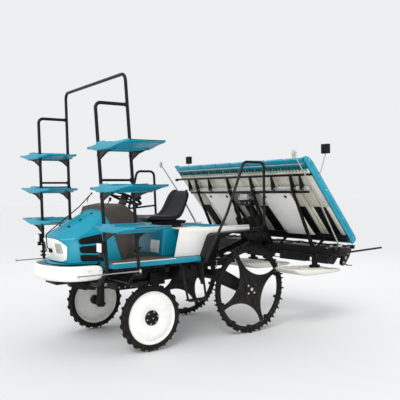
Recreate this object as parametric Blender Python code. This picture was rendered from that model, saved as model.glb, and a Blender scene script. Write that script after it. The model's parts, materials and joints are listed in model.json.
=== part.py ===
"""Eight-row riding rice transplanter.

Metres, +Z up.  The machine faces -Y, its left side is +X, and the origin is on
the ground under the middle of its length.  Stations along the machine are
measured back from the front axle, and `at` turns one into a Y coordinate.
"""

import math

import bmesh
import bpy
from mathutils import Matrix, Vector

# Overall sizes
TRACK = 1.25
WHEELBASE = 1.245
FRONT_OVERHANG = 0.886
REAR_REACH = 2.60

# Wheels
FRONT_WHEEL_D = 0.65
FRONT_RIM_D = 0.515
FRONT_TYRE_W = 0.10
REAR_WHEEL_D = 0.95
REAR_RING_T = 0.045
REAR_RING_W = 0.055
STAR_ARMS = 4
STAR_LEAN = math.radians(25)
STAR_TIP = math.radians(4)
STAR_WAIST = 0.18
STAR_T = 0.016
WHEEL_SEGMENTS = 32

# Steering
KINGPIN_X = 0.47
KINGPIN_R = 0.042
AXLE_BEAM_Z = 0.62
STEER_HUB = (0.06, 1.47)
STEER_LEAN = math.radians(24)

# Frame, floor and covers
RAIL_X = 0.20
RAIL_W = 0.05
RAIL_Z = 0.70
RAIL_H = 0.08
FLOOR_HALF_W = 0.56
FLOOR_TOP_Z = 0.865
FLOOR_T = 0.05
HOOD_HALF_W = 0.30
HOOD_WALL = 0.006
HOOD_NOSE = -0.76
BUMPER_T = 0.035
SEAT_BOTTOM_Z = 1.195
COVER_OUT_X = 0.47
COVER_WALL = 0.008

# Seedling rack
RACK_TUBE_R = 0.016
RACK_POST_X = 0.773
RACK_FRONT = -0.54
RACK_SPACING = 0.324
RACK_BASE_Z = 0.80
RACK_TOP_Z = 2.646
RACK_BAR_Z = 2.354
RACK_RUNG_Z = 1.654
RACK_LEAN = -0.040
RACK_INWARD = 0.045
SHELF_Z = (1.226, 1.579, 1.952)
SHELF_INNER = 0.17
SHELF_OUTER = 0.60
SHELF_HALF_L = 0.21
SHELF_T = 0.034
SIDE_MARKER_X = 0.822
SIDE_MARKER_Z = 0.815
SIDE_MARKER_L = 0.61

# Planting unit
ROW_PITCH = 0.30
ROWS = 8
TRAY_TILT = math.radians(38.5)
TRAY_TOP = (1.49, 1.86)
TRAY_LENGTH = 1.17
TRAY_T = 0.026
TRAY_SIDE_T = 0.025
DIVIDER_H = 0.045
BEAM_STATION = 1.95
BEAM_Z = 0.87
BEAM_SIZE = 0.08
ROTOR_STATION = 2.38
ROTOR_Z = 0.79
ROTOR_SHAFT_R = 0.018
CASE_HALF_W = 0.04
FLOAT_FRONT = 1.50
FLOAT_REAR = 2.20
FLOAT_BOTTOM = 0.62
FLOAT_T = 0.085
FLOAT_CENTRE_W = 0.62
FLOAT_SIDE_W = 0.40
FLOAT_WHEEL_GAP = 0.085
FLOAT_X = TRACK / 2 + FLOAT_WHEEL_GAP + FLOAT_SIDE_W / 2
FLOAT_STRUT_X = (-FLOAT_X, -0.15, 0.15, FLOAT_X)
PIPE_STATION = 1.67
PIPE_Z = 1.56
PIPE_SIZE = 0.05
UPRIGHT_X = (0.22, 0.90)
COVER_X = (0.30, 0.80)
COVER_ABOVE_RAIL = 0.147
COVER_BEHIND_TRAY = 0.047
GUIDE_R = 0.013
MARKER_X = 1.275
MARKER_BASE = (1.95, 0.94)
MARKER_TIP = (1.30, 1.90)
MARKER_EYE_R = 0.016

# Lift linkage
LINK_CHASSIS = (1.25, 0.74)
LINK_PLANTER = (1.86, 0.95)
LINK_RISE = 0.24
LINK_ARM_X = (0.13, 0.155)
CRANK_PIN = (1.19, 0.885)
CYLINDER_PIVOT = (0.74, 0.87)
CYLINDER_R = 0.03
ROD_R = 0.014
PIN_R = 0.014
BORE_CLEAR = 0.0009

TUBE_R = 0.014
GAP = 0.0003
FRONT_AXLE_Y = (FRONT_OVERHANG - REAR_REACH) / 2
SIDES = (("left", 1), ("right", -1))

TEAL = ("teal plastic", (0.0, 0.27, 0.36), 0.35, 0.0)
WHITE = ("white plastic", (0.78, 0.77, 0.72), 0.35, 0.0)
BLACK = ("black paint", (0.02, 0.02, 0.022), 0.45, 0.2)
DARK = ("dark plastic", (0.06, 0.055, 0.05), 0.6, 0.0)
RUBBER = ("rubber", (0.025, 0.025, 0.025), 0.8, 0.0)
IRON = ("cast iron", (0.05, 0.05, 0.052), 0.6, 0.6)
GREY = ("grey pipe", (0.35, 0.36, 0.34), 0.4, 0.6)


def at(station):
    """Y coordinate of a station measured back from the front axle."""
    return FRONT_AXLE_Y + station


def point(x, station, z):
    return Vector((x, at(station), z))


# ---------------------------------------------------------------- building


def material(look):
    name, colour, roughness, metallic = look
    found = bpy.data.materials.get(name)
    if found:
        return found
    made = bpy.data.materials.new(name)
    made.use_nodes = True
    shader = made.node_tree.nodes["Principled BSDF"]
    shader.inputs["Base Color"].default_value = (*colour, 1)
    shader.inputs["Roughness"].default_value = roughness
    shader.inputs["Metallic"].default_value = metallic
    return made


def from_bmesh(bm):
    """A scratch object that holds a bmesh, ready to be joined or named."""
    mesh = bpy.data.meshes.new("scratch")
    bm.to_mesh(mesh)
    bm.free()
    made = bpy.data.objects.new("scratch", mesh)
    bpy.context.scene.collection.objects.link(made)
    return made


def box(low, high):
    """An upright box between two corners."""
    low, high = Vector(low), Vector(high)
    bm = bmesh.new()
    size = Matrix.Diagonal((*(high - low), 1))
    bmesh.ops.create_cube(bm, size=1, matrix=Matrix.Translation((low + high) / 2) @ size)
    return from_bmesh(bm)


def rod(start, end, radius, end_radius=None, sides=12):
    """A round bar or cone from one point to another."""
    start, end = Vector(start), Vector(end)
    along = end - start
    turn = along.to_track_quat("Z", "Y").to_matrix().to_4x4()
    bm = bmesh.new()
    bmesh.ops.create_cone(
        bm,
        cap_ends=True,
        segments=sides,
        radius1=radius,
        radius2=radius if end_radius is None else end_radius,
        depth=along.length,
        matrix=Matrix.Translation((start + end) / 2) @ turn,
    )
    return from_bmesh(bm)


def rounded(points, radius, steps=3):
    """The same path with each inner corner turned into a short arc."""
    points = [Vector(p) for p in points]
    path = [points[0]]
    for before, corner, after in zip(points, points[1:], points[2:]):
        back, ahead = (before - corner).normalized(), (after - corner).normalized()
        half = back.angle(ahead) / 2
        if half > math.radians(88):
            path.append(corner)
            continue
        reach = radius / math.tan(half)
        first, last = corner + back * reach, corner + ahead * reach
        centre = corner + (back + ahead).normalized() * radius / math.sin(half)
        start, end = (first - centre).normalized(), (last - centre).normalized()
        path += [centre + start.slerp(end, i / steps) * radius for i in range(steps + 1)]
    return path + [points[-1]]


def tube(points, radius, bend=0.0, closed=False):
    """A bent bar along a path, as one closed mesh."""
    path = rounded(points, bend) if bend else [Vector(p) for p in points]
    curve = bpy.data.curves.new("scratch", "CURVE")
    curve.dimensions = "3D"
    curve.bevel_depth = radius
    curve.bevel_resolution = 1
    curve.use_fill_caps = True
    spline = curve.splines.new("POLY")
    spline.points.add(len(path) - 1)
    spline.use_cyclic_u = closed
    for place, p in zip(spline.points, path):
        place.co = (*p, 1)
    return meshed(curve)


def meshed(curve):
    """A curve's evaluated mesh, with its caps welded."""
    source = bpy.data.objects.new("scratch", curve)
    bpy.context.scene.collection.objects.link(source)
    shaped = source.evaluated_get(bpy.context.evaluated_depsgraph_get())
    mesh = bpy.data.meshes.new_from_object(shaped)
    bpy.data.objects.remove(source)
    bm = bmesh.new()
    bm.from_mesh(mesh)
    bmesh.ops.remove_doubles(bm, verts=bm.verts, dist=1e-6)
    bmesh.ops.recalc_face_normals(bm, faces=bm.faces)
    bpy.data.meshes.remove(mesh)
    return from_bmesh(bm)


def slab(outline, low, high, across="X"):
    """A flat outline given across one axis, from low to high along that axis."""
    curve = bpy.data.curves.new("scratch", "CURVE")
    curve.dimensions = "2D"
    curve.fill_mode = "BOTH"
    curve.extrude = (high - low) / 2
    spline = curve.splines.new("POLY")
    spline.points.add(len(outline) - 1)
    spline.use_cyclic_u = True
    for place, (a, b) in zip(spline.points, outline):
        place.co = (a, b, 0, 1)
    made = meshed(curve)
    middle = (low + high) / 2
    columns = {
        "X": ((0, 0, 1, middle), (1, 0, 0, 0), (0, 1, 0, 0)),
        "Y": ((1, 0, 0, 0), (0, 0, -1, middle), (0, 1, 0, 0)),
        "Z": ((1, 0, 0, 0), (0, 1, 0, 0), (0, 0, 1, middle)),
    }[across]
    made.data.transform(Matrix((*columns, (0, 0, 0, 1))))
    return made


def turned(profile, centre, segments=WHEEL_SEGMENTS):
    """A closed (x, radius) profile turned about the X axis through a centre."""
    bm = bmesh.new()
    ring = [bm.verts.new((x, 0, r)) for x, r in profile]
    edges = [bm.edges.new((a, b)) for a, b in zip(ring, ring[1:] + ring[:1])]
    bmesh.ops.spin(
        bm,
        geom=ring + edges,
        cent=(0, 0, 0),
        axis=(1, 0, 0),
        angle=2 * math.pi,
        steps=segments,
        use_merge=True,
    )
    bmesh.ops.remove_doubles(bm, verts=bm.verts, dist=1e-6)
    bmesh.ops.delete(bm, geom=[e for e in bm.edges if not e.link_faces], context="EDGES")
    bmesh.ops.recalc_face_normals(bm, faces=bm.faces)
    made = from_bmesh(bm)
    made.data.transform(Matrix.Translation(centre))
    return made


def baked(source):
    """The evaluated mesh of an object, its modifiers applied."""
    shaped = source.evaluated_get(bpy.context.evaluated_depsgraph_get())
    source.data = bpy.data.meshes.new_from_object(shaped)
    source.modifiers.clear()
    return source


def fused(pieces):
    """Several overlapping solids as one."""
    first, *others = pieces
    for other in others:
        union = first.modifiers.new("union", "BOOLEAN")
        union.operation = "UNION"
        union.object = other
    baked(first)
    for other in others:
        bpy.data.objects.remove(other)
    return first


def cut(solid, cutters):
    """A solid with other solids taken out of it."""
    for cutter in cutters:
        hole = solid.modifiers.new("cut", "BOOLEAN")
        hole.operation = "DIFFERENCE"
        hole.object = cutter
    baked(solid)
    for cutter in cutters:
        bpy.data.objects.remove(cutter)
    return solid


def mirrored(solid, side):
    """The solid itself on the left, its mirror image on the right."""
    if side < 0:
        solid.data.transform(Matrix.Diagonal((-1, 1, 1, 1)))
        solid.data.flip_normals()
    return solid


PARTS = None


def part(name, solid, look, carrier=None, smooth=35):
    """Name a finished solid, give it its material and hang it on its carrier."""
    solid.name = name
    solid.data.name = name
    solid.data.materials.clear()
    solid.data.materials.append(material(look))
    solid.data.shade_smooth()
    solid.data.set_sharp_from_angle(angle=math.radians(smooth))
    bpy.context.scene.collection.objects.unlink(solid)
    PARTS.objects.link(solid)
    if carrier:
        solid.parent = carrier
        solid.matrix_parent_inverse = carrier.matrix_world.inverted()
    return solid


def pivot(name, place, carrier=None):
    """An empty on a joint's axis."""
    made = bpy.data.objects.new(name, None)
    made.location = place
    PARTS.objects.link(made)
    if carrier:
        made.parent = carrier
        made.matrix_parent_inverse = carrier.matrix_world.inverted()
    bpy.context.view_layer.update()
    return made


def disc_outline(centre, radius, steps=16, start=0.0, sweep=2 * math.pi):
    """Points of a circle or an arc."""
    full = abs(sweep - 2 * math.pi) < 1e-9
    count = steps if full else steps + 1
    return [
        (
            centre[0] + radius * math.cos(start + sweep * i / steps),
            centre[1] + radius * math.sin(start + sweep * i / steps),
        )
        for i in range(count)
    ]


def bar_outline(start, end, start_r, end_r, steps=5):
    """A bar with round ends of two sizes, seen flat."""
    start, end = Vector(start), Vector(end)
    along = end - start
    lean = math.atan2(along.y, along.x)
    spread = math.acos((start_r - end_r) / along.length)
    tip = disc_outline(end, end_r, steps, lean - spread, 2 * spread)
    tail = disc_outline(start, start_r, steps, lean + spread, 2 * math.pi - 2 * spread)
    return tip + tail


def bored(solid, places, low_x, high_x, radius=PIN_R):
    """A solid with round cross holes at (station, z) places."""
    margin = 0.01
    holes = [
        rod(
            point(low_x - margin, station, z),
            point(high_x + margin, station, z),
            radius + BORE_CLEAR,
            sides=24,
        )
        for station, z in places
    ]
    return cut(solid, holes)


def kept_inside(solid, keeper):
    """The part of a solid that lies inside another."""
    common = solid.modifiers.new("common", "BOOLEAN")
    common.operation = "INTERSECT"
    common.object = keeper
    baked(solid)
    bpy.data.objects.remove(keeper)
    return solid


def side_view(outline, low_x, high_x):
    """A slab across the machine from (station, z) points."""
    return slab([(at(station), z) for station, z in outline], low_x, high_x, "X")


def plan_view(outline, low_z, high_z):
    """A level slab from (x, station) points."""
    return slab([(x, at(station)) for x, station in outline], low_z, high_z, "Z")


# ---------------------------------------------------------------- wheels


def front_wheel(side_name, side, spindle):
    """Rubber tyre on a dished white disc with a black hub."""
    centre = point(side * TRACK / 2, 0, FRONT_WHEEL_D / 2)
    outer, bead, half = FRONT_WHEEL_D / 2, FRONT_RIM_D / 2, FRONT_TYRE_W / 2
    shoulder = outer - 0.014
    tyre = turned(
        [
            (-half * 0.72, bead),
            (-half, bead + 0.02),
            (-half, shoulder),
            (-half * 0.6, outer),
            (half * 0.6, outer),
            (half, shoulder),
            (half, bead + 0.02),
            (half * 0.72, bead),
        ],
        centre,
    )
    part(f"front_tyre_{side_name}", tyre, RUBBER, spindle)
    seat, disc, hub_r = bead - GAP, 0.012, 0.072
    rim = turned(
        [
            (half * 0.7, seat),
            (half * 0.7, seat - 0.012),
            (0.03, bead * 0.86),
            (0.02, hub_r),
            (0.03, hub_r),
            (0.045, 0.03),
            (0.045, 0.0),
            (-0.055, 0.0),
            (-0.055, hub_r * 0.7),
            (0.02 - disc, hub_r),
            (0.03 - disc, bead * 0.86),
            (-half * 0.7, seat - 0.012),
            (-half * 0.7, seat),
        ],
        point(TRACK / 2, 0, FRONT_WHEEL_D / 2),
    )
    part(f"front_rim_{side_name}", mirrored(rim, side), WHITE, spindle)


def rear_wheel(side_name, side, axle):
    """Narrow rubber ring carried by a five-armed star plate."""
    outer, inner = REAR_WHEEL_D / 2, REAR_WHEEL_D / 2 - REAR_RING_T
    half = REAR_RING_W / 2
    centre = point(0, WHEELBASE, REAR_WHEEL_D / 2)
    ring = turned(
        [
            (-half, inner + 0.012),
            (-half, outer - 0.012),
            (-half * 0.5, outer),
            (half * 0.5, outer),
            (half, outer - 0.012),
            (half, inner + 0.012),
            (half * 0.5, inner),
            (-half * 0.5, inner),
        ],
        centre,
    )
    outline = []
    reach, steps = inner + 0.02, 8
    pitch = 2 * math.pi / STAR_ARMS
    edge = pitch / 2 - STAR_TIP
    away = (reach**2 - STAR_WAIST**2) / (2 * (reach * math.cos(edge) - STAR_WAIST))
    bow = away - STAR_WAIST
    swing = math.atan2(reach * math.sin(edge), away - reach * math.cos(edge))
    for arm in range(STAR_ARMS):
        toward = math.pi / 2 + STAR_LEAN + (arm + 0.5) * pitch
        for i in range(steps + 1):
            turn = toward + math.pi + swing - 2 * swing * i / steps
            outline.append((
                away * math.cos(toward) + bow * math.cos(turn),
                away * math.sin(toward) + bow * math.sin(turn),
            ))
    star = slab(
        [(centre.y + a, centre.z + b) for a, b in outline], -STAR_T / 2, STAR_T / 2
    )
    hub = rod(centre + Vector((-0.045, 0, 0)), centre + Vector((0.03, 0, 0)), 0.06, sides=20)
    wheel = fused([ring, star, hub])
    wheel.data.transform(Matrix.Translation((TRACK / 2, 0, 0)))
    part(f"rear_wheel_{side_name}", mirrored(wheel, side), RUBBER, axle)


def steered_corner(side_name, side, root):
    """Knuckle that turns on the kingpin and carries the front wheel."""
    kingpin = pivot(f"{side_name}_kingpin", point(side * KINGPIN_X, 0, AXLE_BEAM_Z), root)
    boss_bottom = AXLE_BEAM_Z - KINGPIN_R - 0.003
    hub_z = FRONT_WHEEL_D / 2
    case = rod(
        point(KINGPIN_X, 0, hub_z - 0.055), point(KINGPIN_X, 0, boss_bottom - GAP), KINGPIN_R
    )
    spindle_end = TRACK / 2 - 0.055 - GAP
    spindle = rod(point(KINGPIN_X, 0, hub_z), point(spindle_end, 0, hub_z), 0.038)
    arm = box(
        point(KINGPIN_X - 0.02, 0, hub_z + 0.14), point(KINGPIN_X + 0.02, 0.11, hub_z + 0.16)
    )
    knuckle = fused([case, spindle, arm])
    part(f"knuckle_{side_name}", mirrored(knuckle, side), IRON, kingpin)
    axle = pivot(f"{side_name}_front_hub", point(side * TRACK / 2, 0, hub_z), kingpin)
    front_wheel(side_name, side, axle)


# ---------------------------------------------------------------- chassis


def chassis_frame(root):
    """Two rails with cross members, the bumper stay and the lift tower."""
    low, high = RAIL_Z, RAIL_Z + RAIL_H
    inner, outer = RAIL_X - RAIL_W / 2, RAIL_X + RAIL_W / 2
    front, rear = -0.78, LINK_CHASSIS[0] + 0.05
    pieces = [box(point(-outer, front, low + 0.001), point(outer, front + 0.06, high - 0.001))]
    for side in (1, -1):
        xs = sorted((side * inner, side * outer))
        pieces.append(box(point(xs[0], front + 0.01, low), point(xs[1], rear, high)))
    nose = FRONT_OVERHANG - BUMPER_T
    pieces.append(box(point(-0.10, -nose + GAP, low + 0.01), point(0.10, front + 0.02, high - 0.01)))
    floor_bottom = FLOOR_TOP_Z - FLOOR_T - GAP
    for station in (0.25, 0.56):
        pieces.append(
            box(point(-0.50, station, low + 0.03), point(0.50, station + 0.05, floor_bottom))
        )
    tank = box(point(0.26, 0.44, 0.63), point(0.46, 0.76, floor_bottom - 0.02))
    battery = box(point(-0.46, 0.44, 0.66), point(-0.26, 0.70, floor_bottom - 0.02))
    pieces += [tank, battery]
    tower = LINK_CHASSIS[0] - 0.15
    pieces.append(box(point(-outer, tower, low + 0.002), point(outer, tower + 0.06, high - 0.002)))
    upper = (LINK_CHASSIS[0], LINK_CHASSIS[1] + LINK_RISE)
    for side in (1, -1):
        cheek = side_view(
            [
                (tower, low + 0.02),
                (tower + 0.06, low + 0.02),
                (upper[0] + 0.03, upper[1] - 0.03),
                (upper[0] + 0.03, upper[1] + 0.03),
                (upper[0] - 0.03, upper[1] + 0.03),
                (tower, high + 0.10),
            ],
            *sorted((side * 0.036, side * 0.052)),
        )
        pieces.append(cheek)
    pieces.append(rod(point(-0.044, *upper), point(0.044, *upper), PIN_R))
    pieces.append(rod(point(-RAIL_X, *LINK_CHASSIS), point(RAIL_X, *LINK_CHASSIS), PIN_R))
    anchor = CYLINDER_PIVOT
    pieces.append(
        box(point(-outer, anchor[0] - 0.03, low + 0.003), point(outer, anchor[0] + 0.03, high - 0.003))
    )
    for side in (1, -1):
        ear = side_view(
            bar_outline((anchor[0], low + 0.03), anchor, 0.028, 0.026),
            *sorted((side * 0.022, side * 0.036)),
        )
        pieces.append(ear)
    pieces.append(rod(point(-0.03, *anchor), point(0.03, *anchor), PIN_R))
    part("chassis_frame", fused(pieces), BLACK, root)


def running_gear(root):
    """Front beam with its gear case, and rear axle with its drop cases."""
    under_rail = RAIL_Z - GAP
    outer = RAIL_X + RAIL_W / 2
    beam = rod(point(-KINGPIN_X, 0, AXLE_BEAM_Z), point(KINGPIN_X, 0, AXLE_BEAM_Z), 0.038)
    pieces = [beam, box(point(-0.11, -0.10, 0.53), point(0.11, 0.14, under_rail - 0.01))]
    pieces.append(box(point(-outer, -0.06, AXLE_BEAM_Z), point(outer, 0.06, under_rail)))
    for side in (1, -1):
        boss_low = point(side * KINGPIN_X, 0, AXLE_BEAM_Z - KINGPIN_R - 0.003)
        boss_high = point(side * KINGPIN_X, 0, AXLE_BEAM_Z + KINGPIN_R)
        pieces.append(rod(boss_low, boss_high, KINGPIN_R + 0.006))
    part("front_axle", fused(pieces), IRON, root)

    drive = (0.93, 0.635)
    hub = (WHEELBASE, REAR_WHEEL_D / 2)
    pieces = [rod(point(-0.49, *drive), point(0.49, *drive), 0.053)]
    pieces.append(box(point(-0.12, 0.76, 0.567), point(0.12, 0.993, under_rail - 0.013)))
    pieces.append(box(point(-outer, 0.88, 0.61), point(outer, 0.98, under_rail)))
    for side in (1, -1):
        case = side_view(bar_outline(drive, hub, 0.075, 0.06), *sorted((side * 0.46, side * 0.54)))
        stub = rod(point(side * 0.515, *hub), point(side * (TRACK / 2 - 0.045 - GAP), *hub), 0.03)
        pieces += [case, stub]
    part("rear_axle", fused(pieces), IRON, root)


def engine(root):
    """Engine as one block, standing on the rails under the hood."""
    block = box(point(-0.19, -0.60, RAIL_Z + RAIL_H + GAP), point(0.19, -0.17, 1.09))
    part("engine_block", block, IRON, root)


def hood(root):
    """Thin hood, open below and behind, with its white front panel."""
    sill, rear = FLOOR_TOP_Z + GAP, -0.10
    ridge = [(-0.70, sill), (HOOD_NOSE, 1.12), (-0.24, 1.405), (rear, 1.415), (rear, sill)]
    w = HOOD_WALL
    inside = [
        (-0.70 + w, sill - 0.05),
        (HOOD_NOSE + 1.4 * w, 1.12 - w),
        (-0.24, 1.405 - 1.2 * w),
        (rear + 0.05, 1.415 - 1.2 * w),
        (rear + 0.05, sill - 0.05),
    ]
    half, nose_half = HOOD_HALF_W, 0.205
    plan = [
        (half, 0.2), (half, -0.58), (0.26, -0.70), (nose_half, -0.80),
        (-nose_half, -0.80), (-0.26, -0.70), (-half, -0.58), (-half, 0.2),
    ]
    plan_in = [
        (half - w, 0.3), (half - w, -0.575), (0.26 - w, -0.69), (nose_half - w, -0.81),
        (w - nose_half, -0.81), (w - 0.26, -0.69), (w - half, -0.575), (w - half, 0.3),
    ]
    shell = kept_inside(side_view(ridge, -half - 0.05, half + 0.05), plan_view(plan, 0.5, 1.6))
    core = kept_inside(side_view(inside, -half, half), plan_view(plan_in, 0.4, 1.7))
    part("hood", cut(shell, [core]), TEAL, root)

    lean = (HOOD_NOSE + 0.70) / (1.12 - sill)
    low, high = 0.885, 1.095
    skin = [
        (-0.70 + lean * (low - sill) - GAP, low),
        (-0.70 + lean * (high - sill) - GAP, high),
        (-0.70 + lean * (high - sill) - 0.009, high),
        (-0.70 + lean * (low - sill) - 0.009, low),
    ]
    panel = side_view(skin, -0.19, 0.19)
    nose_y = -0.70 + lean * (1.0 - sill)
    stay = box(point(-0.02, nose_y - 0.034, 0.96), point(0.02, nose_y + 0.002, 0.975))
    part("front_panel", fused([panel, stay]), WHITE, root)


def bumper(root):
    """Rounded front bumper, open towards the frame."""
    nose = -FRONT_OVERHANG
    outside = [(0.45, -0.40), (0.45, -0.66), (0.34, -0.80), (0.14, nose)]
    t = BUMPER_T
    inside = [(0.14 - t * 0.4, nose + t), (0.34 - t, -0.80 + t * 0.7), (0.45 - t, -0.66 + t * 0.3), (0.45 - t, -0.40)]
    right = [(-x, s) for x, s in reversed(outside)]
    right_in = [(-x, s) for x, s in reversed(inside)]
    band = plan_view(outside + right + right_in + inside, 0.706, FLOOR_TOP_Z - 0.01)
    part("front_bumper", band, WHITE, root)


def console(root):
    """Dash and steering column between hood and footwell."""
    foot = FLOOR_TOP_Z + GAP
    front = -0.10 + GAP
    outline = [
        (front, foot), (front, 1.41), (-0.03, 1.41), (0.04, 1.31), (0.17, 1.22),
        (0.15, 1.15), (0.02, 0.95), (0.0, foot),
    ]
    dash = side_view(outline, -0.27, 0.27)
    column = rod(steering_axis(-0.24), steering_axis(-0.005 - GAP), 0.035, 0.026)
    part("console", fused([dash, column]), DARK, root)


def steering_axis(along):
    """Point on the steering column's axis, measured up from the wheel's hub."""
    station = STEER_HUB[0] + along * math.sin(STEER_LEAN)
    return point(0, station, STEER_HUB[1] + along * math.cos(STEER_LEAN))


def steering_wheel(root):
    """Rim with three spokes on the column."""
    hub = pivot("steering_hub", steering_axis(0), root)
    bm = bmesh.new()
    rim_r, grip = 0.18, 0.013
    tilt = Matrix.Rotation(-STEER_LEAN, 4, "X")
    place = Matrix.Translation(steering_axis(0.015)) @ tilt
    ring = [
        bm.verts.new((rim_r + grip * math.cos(a), 0, grip * math.sin(a)))
        for a in (math.pi * i / 4 for i in range(8))
    ]
    edges = [bm.edges.new((a, b)) for a, b in zip(ring, ring[1:] + ring[:1])]
    bmesh.ops.spin(
        bm, geom=ring + edges, cent=(0, 0, 0), axis=(0, 0, 1),
        angle=2 * math.pi, steps=28, use_merge=True,
    )
    bmesh.ops.remove_doubles(bm, verts=bm.verts, dist=1e-6)
    bmesh.ops.recalc_face_normals(bm, faces=bm.faces)
    rim = from_bmesh(bm)
    pieces = [rim, rod((0, 0, -0.02), (0, 0, 0.02), 0.04)]
    for i in range(3):
        lean = math.pi / 2 + i * 2 * math.pi / 3
        pieces.append(rod((0, 0, 0), (rim_r * math.cos(lean), rim_r * math.sin(lean), 0), 0.009, sides=8))
    wheel = fused(pieces)
    wheel.data.transform(place)
    part("steering_wheel", wheel, DARK, hub)


def floor(root):
    """Foot plate, cut away round the engine."""
    half, bay = FLOOR_HALF_W, 0.24
    outline = [
        (half, -0.36), (half, 0.655), (-half, 0.655), (-half, -0.36),
        (-bay, -0.36), (-bay, -0.10), (bay, -0.10), (bay, -0.36),
    ]
    part("floor_deck", plan_view(outline, FLOOR_TOP_Z - FLOOR_T, FLOOR_TOP_Z), TEAL, root)


def seat_and_base(root):
    """Teal seat box and the black bucket seat on it."""
    foot, top = FLOOR_TOP_Z + GAP, 1.15
    outer = side_view([(0.33, foot), (0.36, top), (0.76, top), (0.76, 1.0), (0.645, foot)], -0.30, 0.30)
    w = COVER_WALL
    core = side_view(
        [(0.33 + w, foot - 0.05), (0.36 + w, top - w), (0.76 - w, top - w), (0.76 - w, 1.0), (0.645 - w, foot - 0.05)],
        -0.30 + w,
        0.30 - w,
    )
    pedestal = box(point(-0.12, 0.42, top - 0.004), point(0.12, 0.68, SEAT_BOTTOM_Z - GAP))
    part("seat_base", fused([cut(outer, [core]), pedestal]), TEAL, root)
    shape = [
        (0.25, SEAT_BOTTOM_Z + 0.02), (0.29, SEAT_BOTTOM_Z), (0.72, SEAT_BOTTOM_Z),
        (0.78, SEAT_BOTTOM_Z + 0.05), (0.85, 1.54), (0.83, 1.56), (0.77, 1.56),
        (0.66, SEAT_BOTTOM_Z + 0.13), (0.60, SEAT_BOTTOM_Z + 0.075), (0.27, SEAT_BOTTOM_Z + 0.075),
    ]
    part("seat", side_view(shape, -0.23, 0.23), DARK, root)


def rear_body(root):
    """White side covers, teal deck between them and the black mudguards."""
    foot, top = FLOOR_TOP_Z + GAP, 1.165
    for side_name, side in SIDES:
        skin = side_view(
            [
                (0.38, foot), (0.45, top), (1.40, top - 0.02), (1.40, 1.09),
                (0.82, 1.07), (0.70, foot - 0.06), (0.6553, foot - 0.06), (0.6553, foot),
            ],
            COVER_OUT_X - 0.012,
            COVER_OUT_X,
        )
        ledge = box(point(0.31, 0.78, top - 0.03), point(COVER_OUT_X - 0.006, 1.38, top - 0.022))
        part(f"rear_cover_{side_name}", mirrored(fused([skin, ledge]), side), WHITE, root)
        guard = side_view(
            [
                (0.665, 0.80), (0.79, 1.075), (0.83, 1.10), (1.43, 1.115),
                (1.43, 1.105), (0.835, 1.09), (0.80, 1.068), (0.675, 0.795),
            ],
            COVER_OUT_X + GAP,
            0.62,
        )
        part(f"mudguard_{side_name}", mirrored(guard, side), BLACK, root)
    deck_low = top - 0.022 + GAP
    deck = box(point(-0.44, 0.79, deck_low), point(0.44, 1.16, deck_low + 0.016))
    part("rear_deck", deck, TEAL, root)


def rails_and_steps(root):
    """Grab rails beside the seat and boarding steps below the floor."""
    x, under = 0.69, FLOOR_TOP_Z - FLOOR_T - GAP - TUBE_R
    rests = {
        "left": [
            point(0.51, 0.60, under), point(x, 0.60, under), point(x, 0.90, 1.31),
            point(x, 1.13, 1.85), point(x, 1.41, 1.85), point(x, 1.41, 1.13), point(0.56, 1.41, 1.13),
        ],
        "right": [
            point(0.51, 0.335, under), point(x, 0.335, under), point(x, 0.475, 1.30),
            point(x, 0.606, 1.79), point(x, 0.84, 1.79), point(x, 0.865, 1.1164), point(0.56, 0.865, 1.1164),
        ],
    }
    for side_name, side in SIDES:
        path = rests[side_name]
        end = path[-1]
        pad = box(end + Vector((0.005, -0.015, -0.0149)), end + Vector((0.04, 0.01, 0)))
        pieces = [tube(path, TUBE_R, 0.06), pad]
        if side_name == "right":
            pieces.append(rod(point(x, 0.488, 1.345), point(x, 0.855, 1.375), 0.011))
        part(f"handrail_{side_name}", mirrored(fused(pieces), side), BLACK, root)
        loop = [
            point(0.53, 0.39, under), point(0.60, 0.39, under - 0.05), point(0.66, 0.42, 0.44),
            point(0.66, 0.64, 0.44), point(0.60, 0.635, under - 0.05), point(0.53, 0.635, under),
        ]
        frame = tube(loop, 0.012, 0.03)
        pads = [
            box(point(0.51, station - 0.014, under - 0.006), point(0.55, station + 0.014, under + TUBE_R))
            for station in (0.39, 0.635)
        ]
        tread = box(point(0.60, 0.425, 0.434), point(0.655, 0.635, 0.446))
        part(f"step_{side_name}", mirrored(fused([frame, tread] + pads), side), BLACK, root)


# ---------------------------------------------------------------- seedling rack


def post_point(x_offset, station, z):
    """Point on a left rack post, which leans forward and inward as it rises."""
    rise = z - 1
    return point(RACK_POST_X + x_offset - RACK_INWARD * rise, station + RACK_LEAN * rise, z)


def flipped(points):
    return [Vector((-p.x, p.y, p.z)) for p in reversed(points)]


def gussets(station):
    """Triangular plates under each shelf beside one pair of posts."""
    plates = []
    for level in SHELF_Z:
        root_point = post_point(0, station, level)
        top = level - SHELF_T / 2 - GAP
        for side in (1, -1):
            outline = [
                (side * (root_point.x - 0.005), top),
                (side * (root_point.x + 0.34), top),
                (side * (root_point.x + 0.34), top - 0.012),
                (side * (root_point.x - 0.005), top - 0.10),
            ]
            plates.append(slab(outline, root_point.y - 0.006, root_point.y + 0.006, "Y"))
    return plates


def saddles(station):
    """Blocks that seat a rack foot tube against the underside of the rails."""
    foot = RAIL_Z - GAP - RACK_TUBE_R
    return [
        box(point(x - 0.02, station - 0.012, foot), point(x + 0.02, station + 0.012, RAIL_Z - GAP))
        for x in (-RAIL_X, RAIL_X)
    ]


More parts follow.
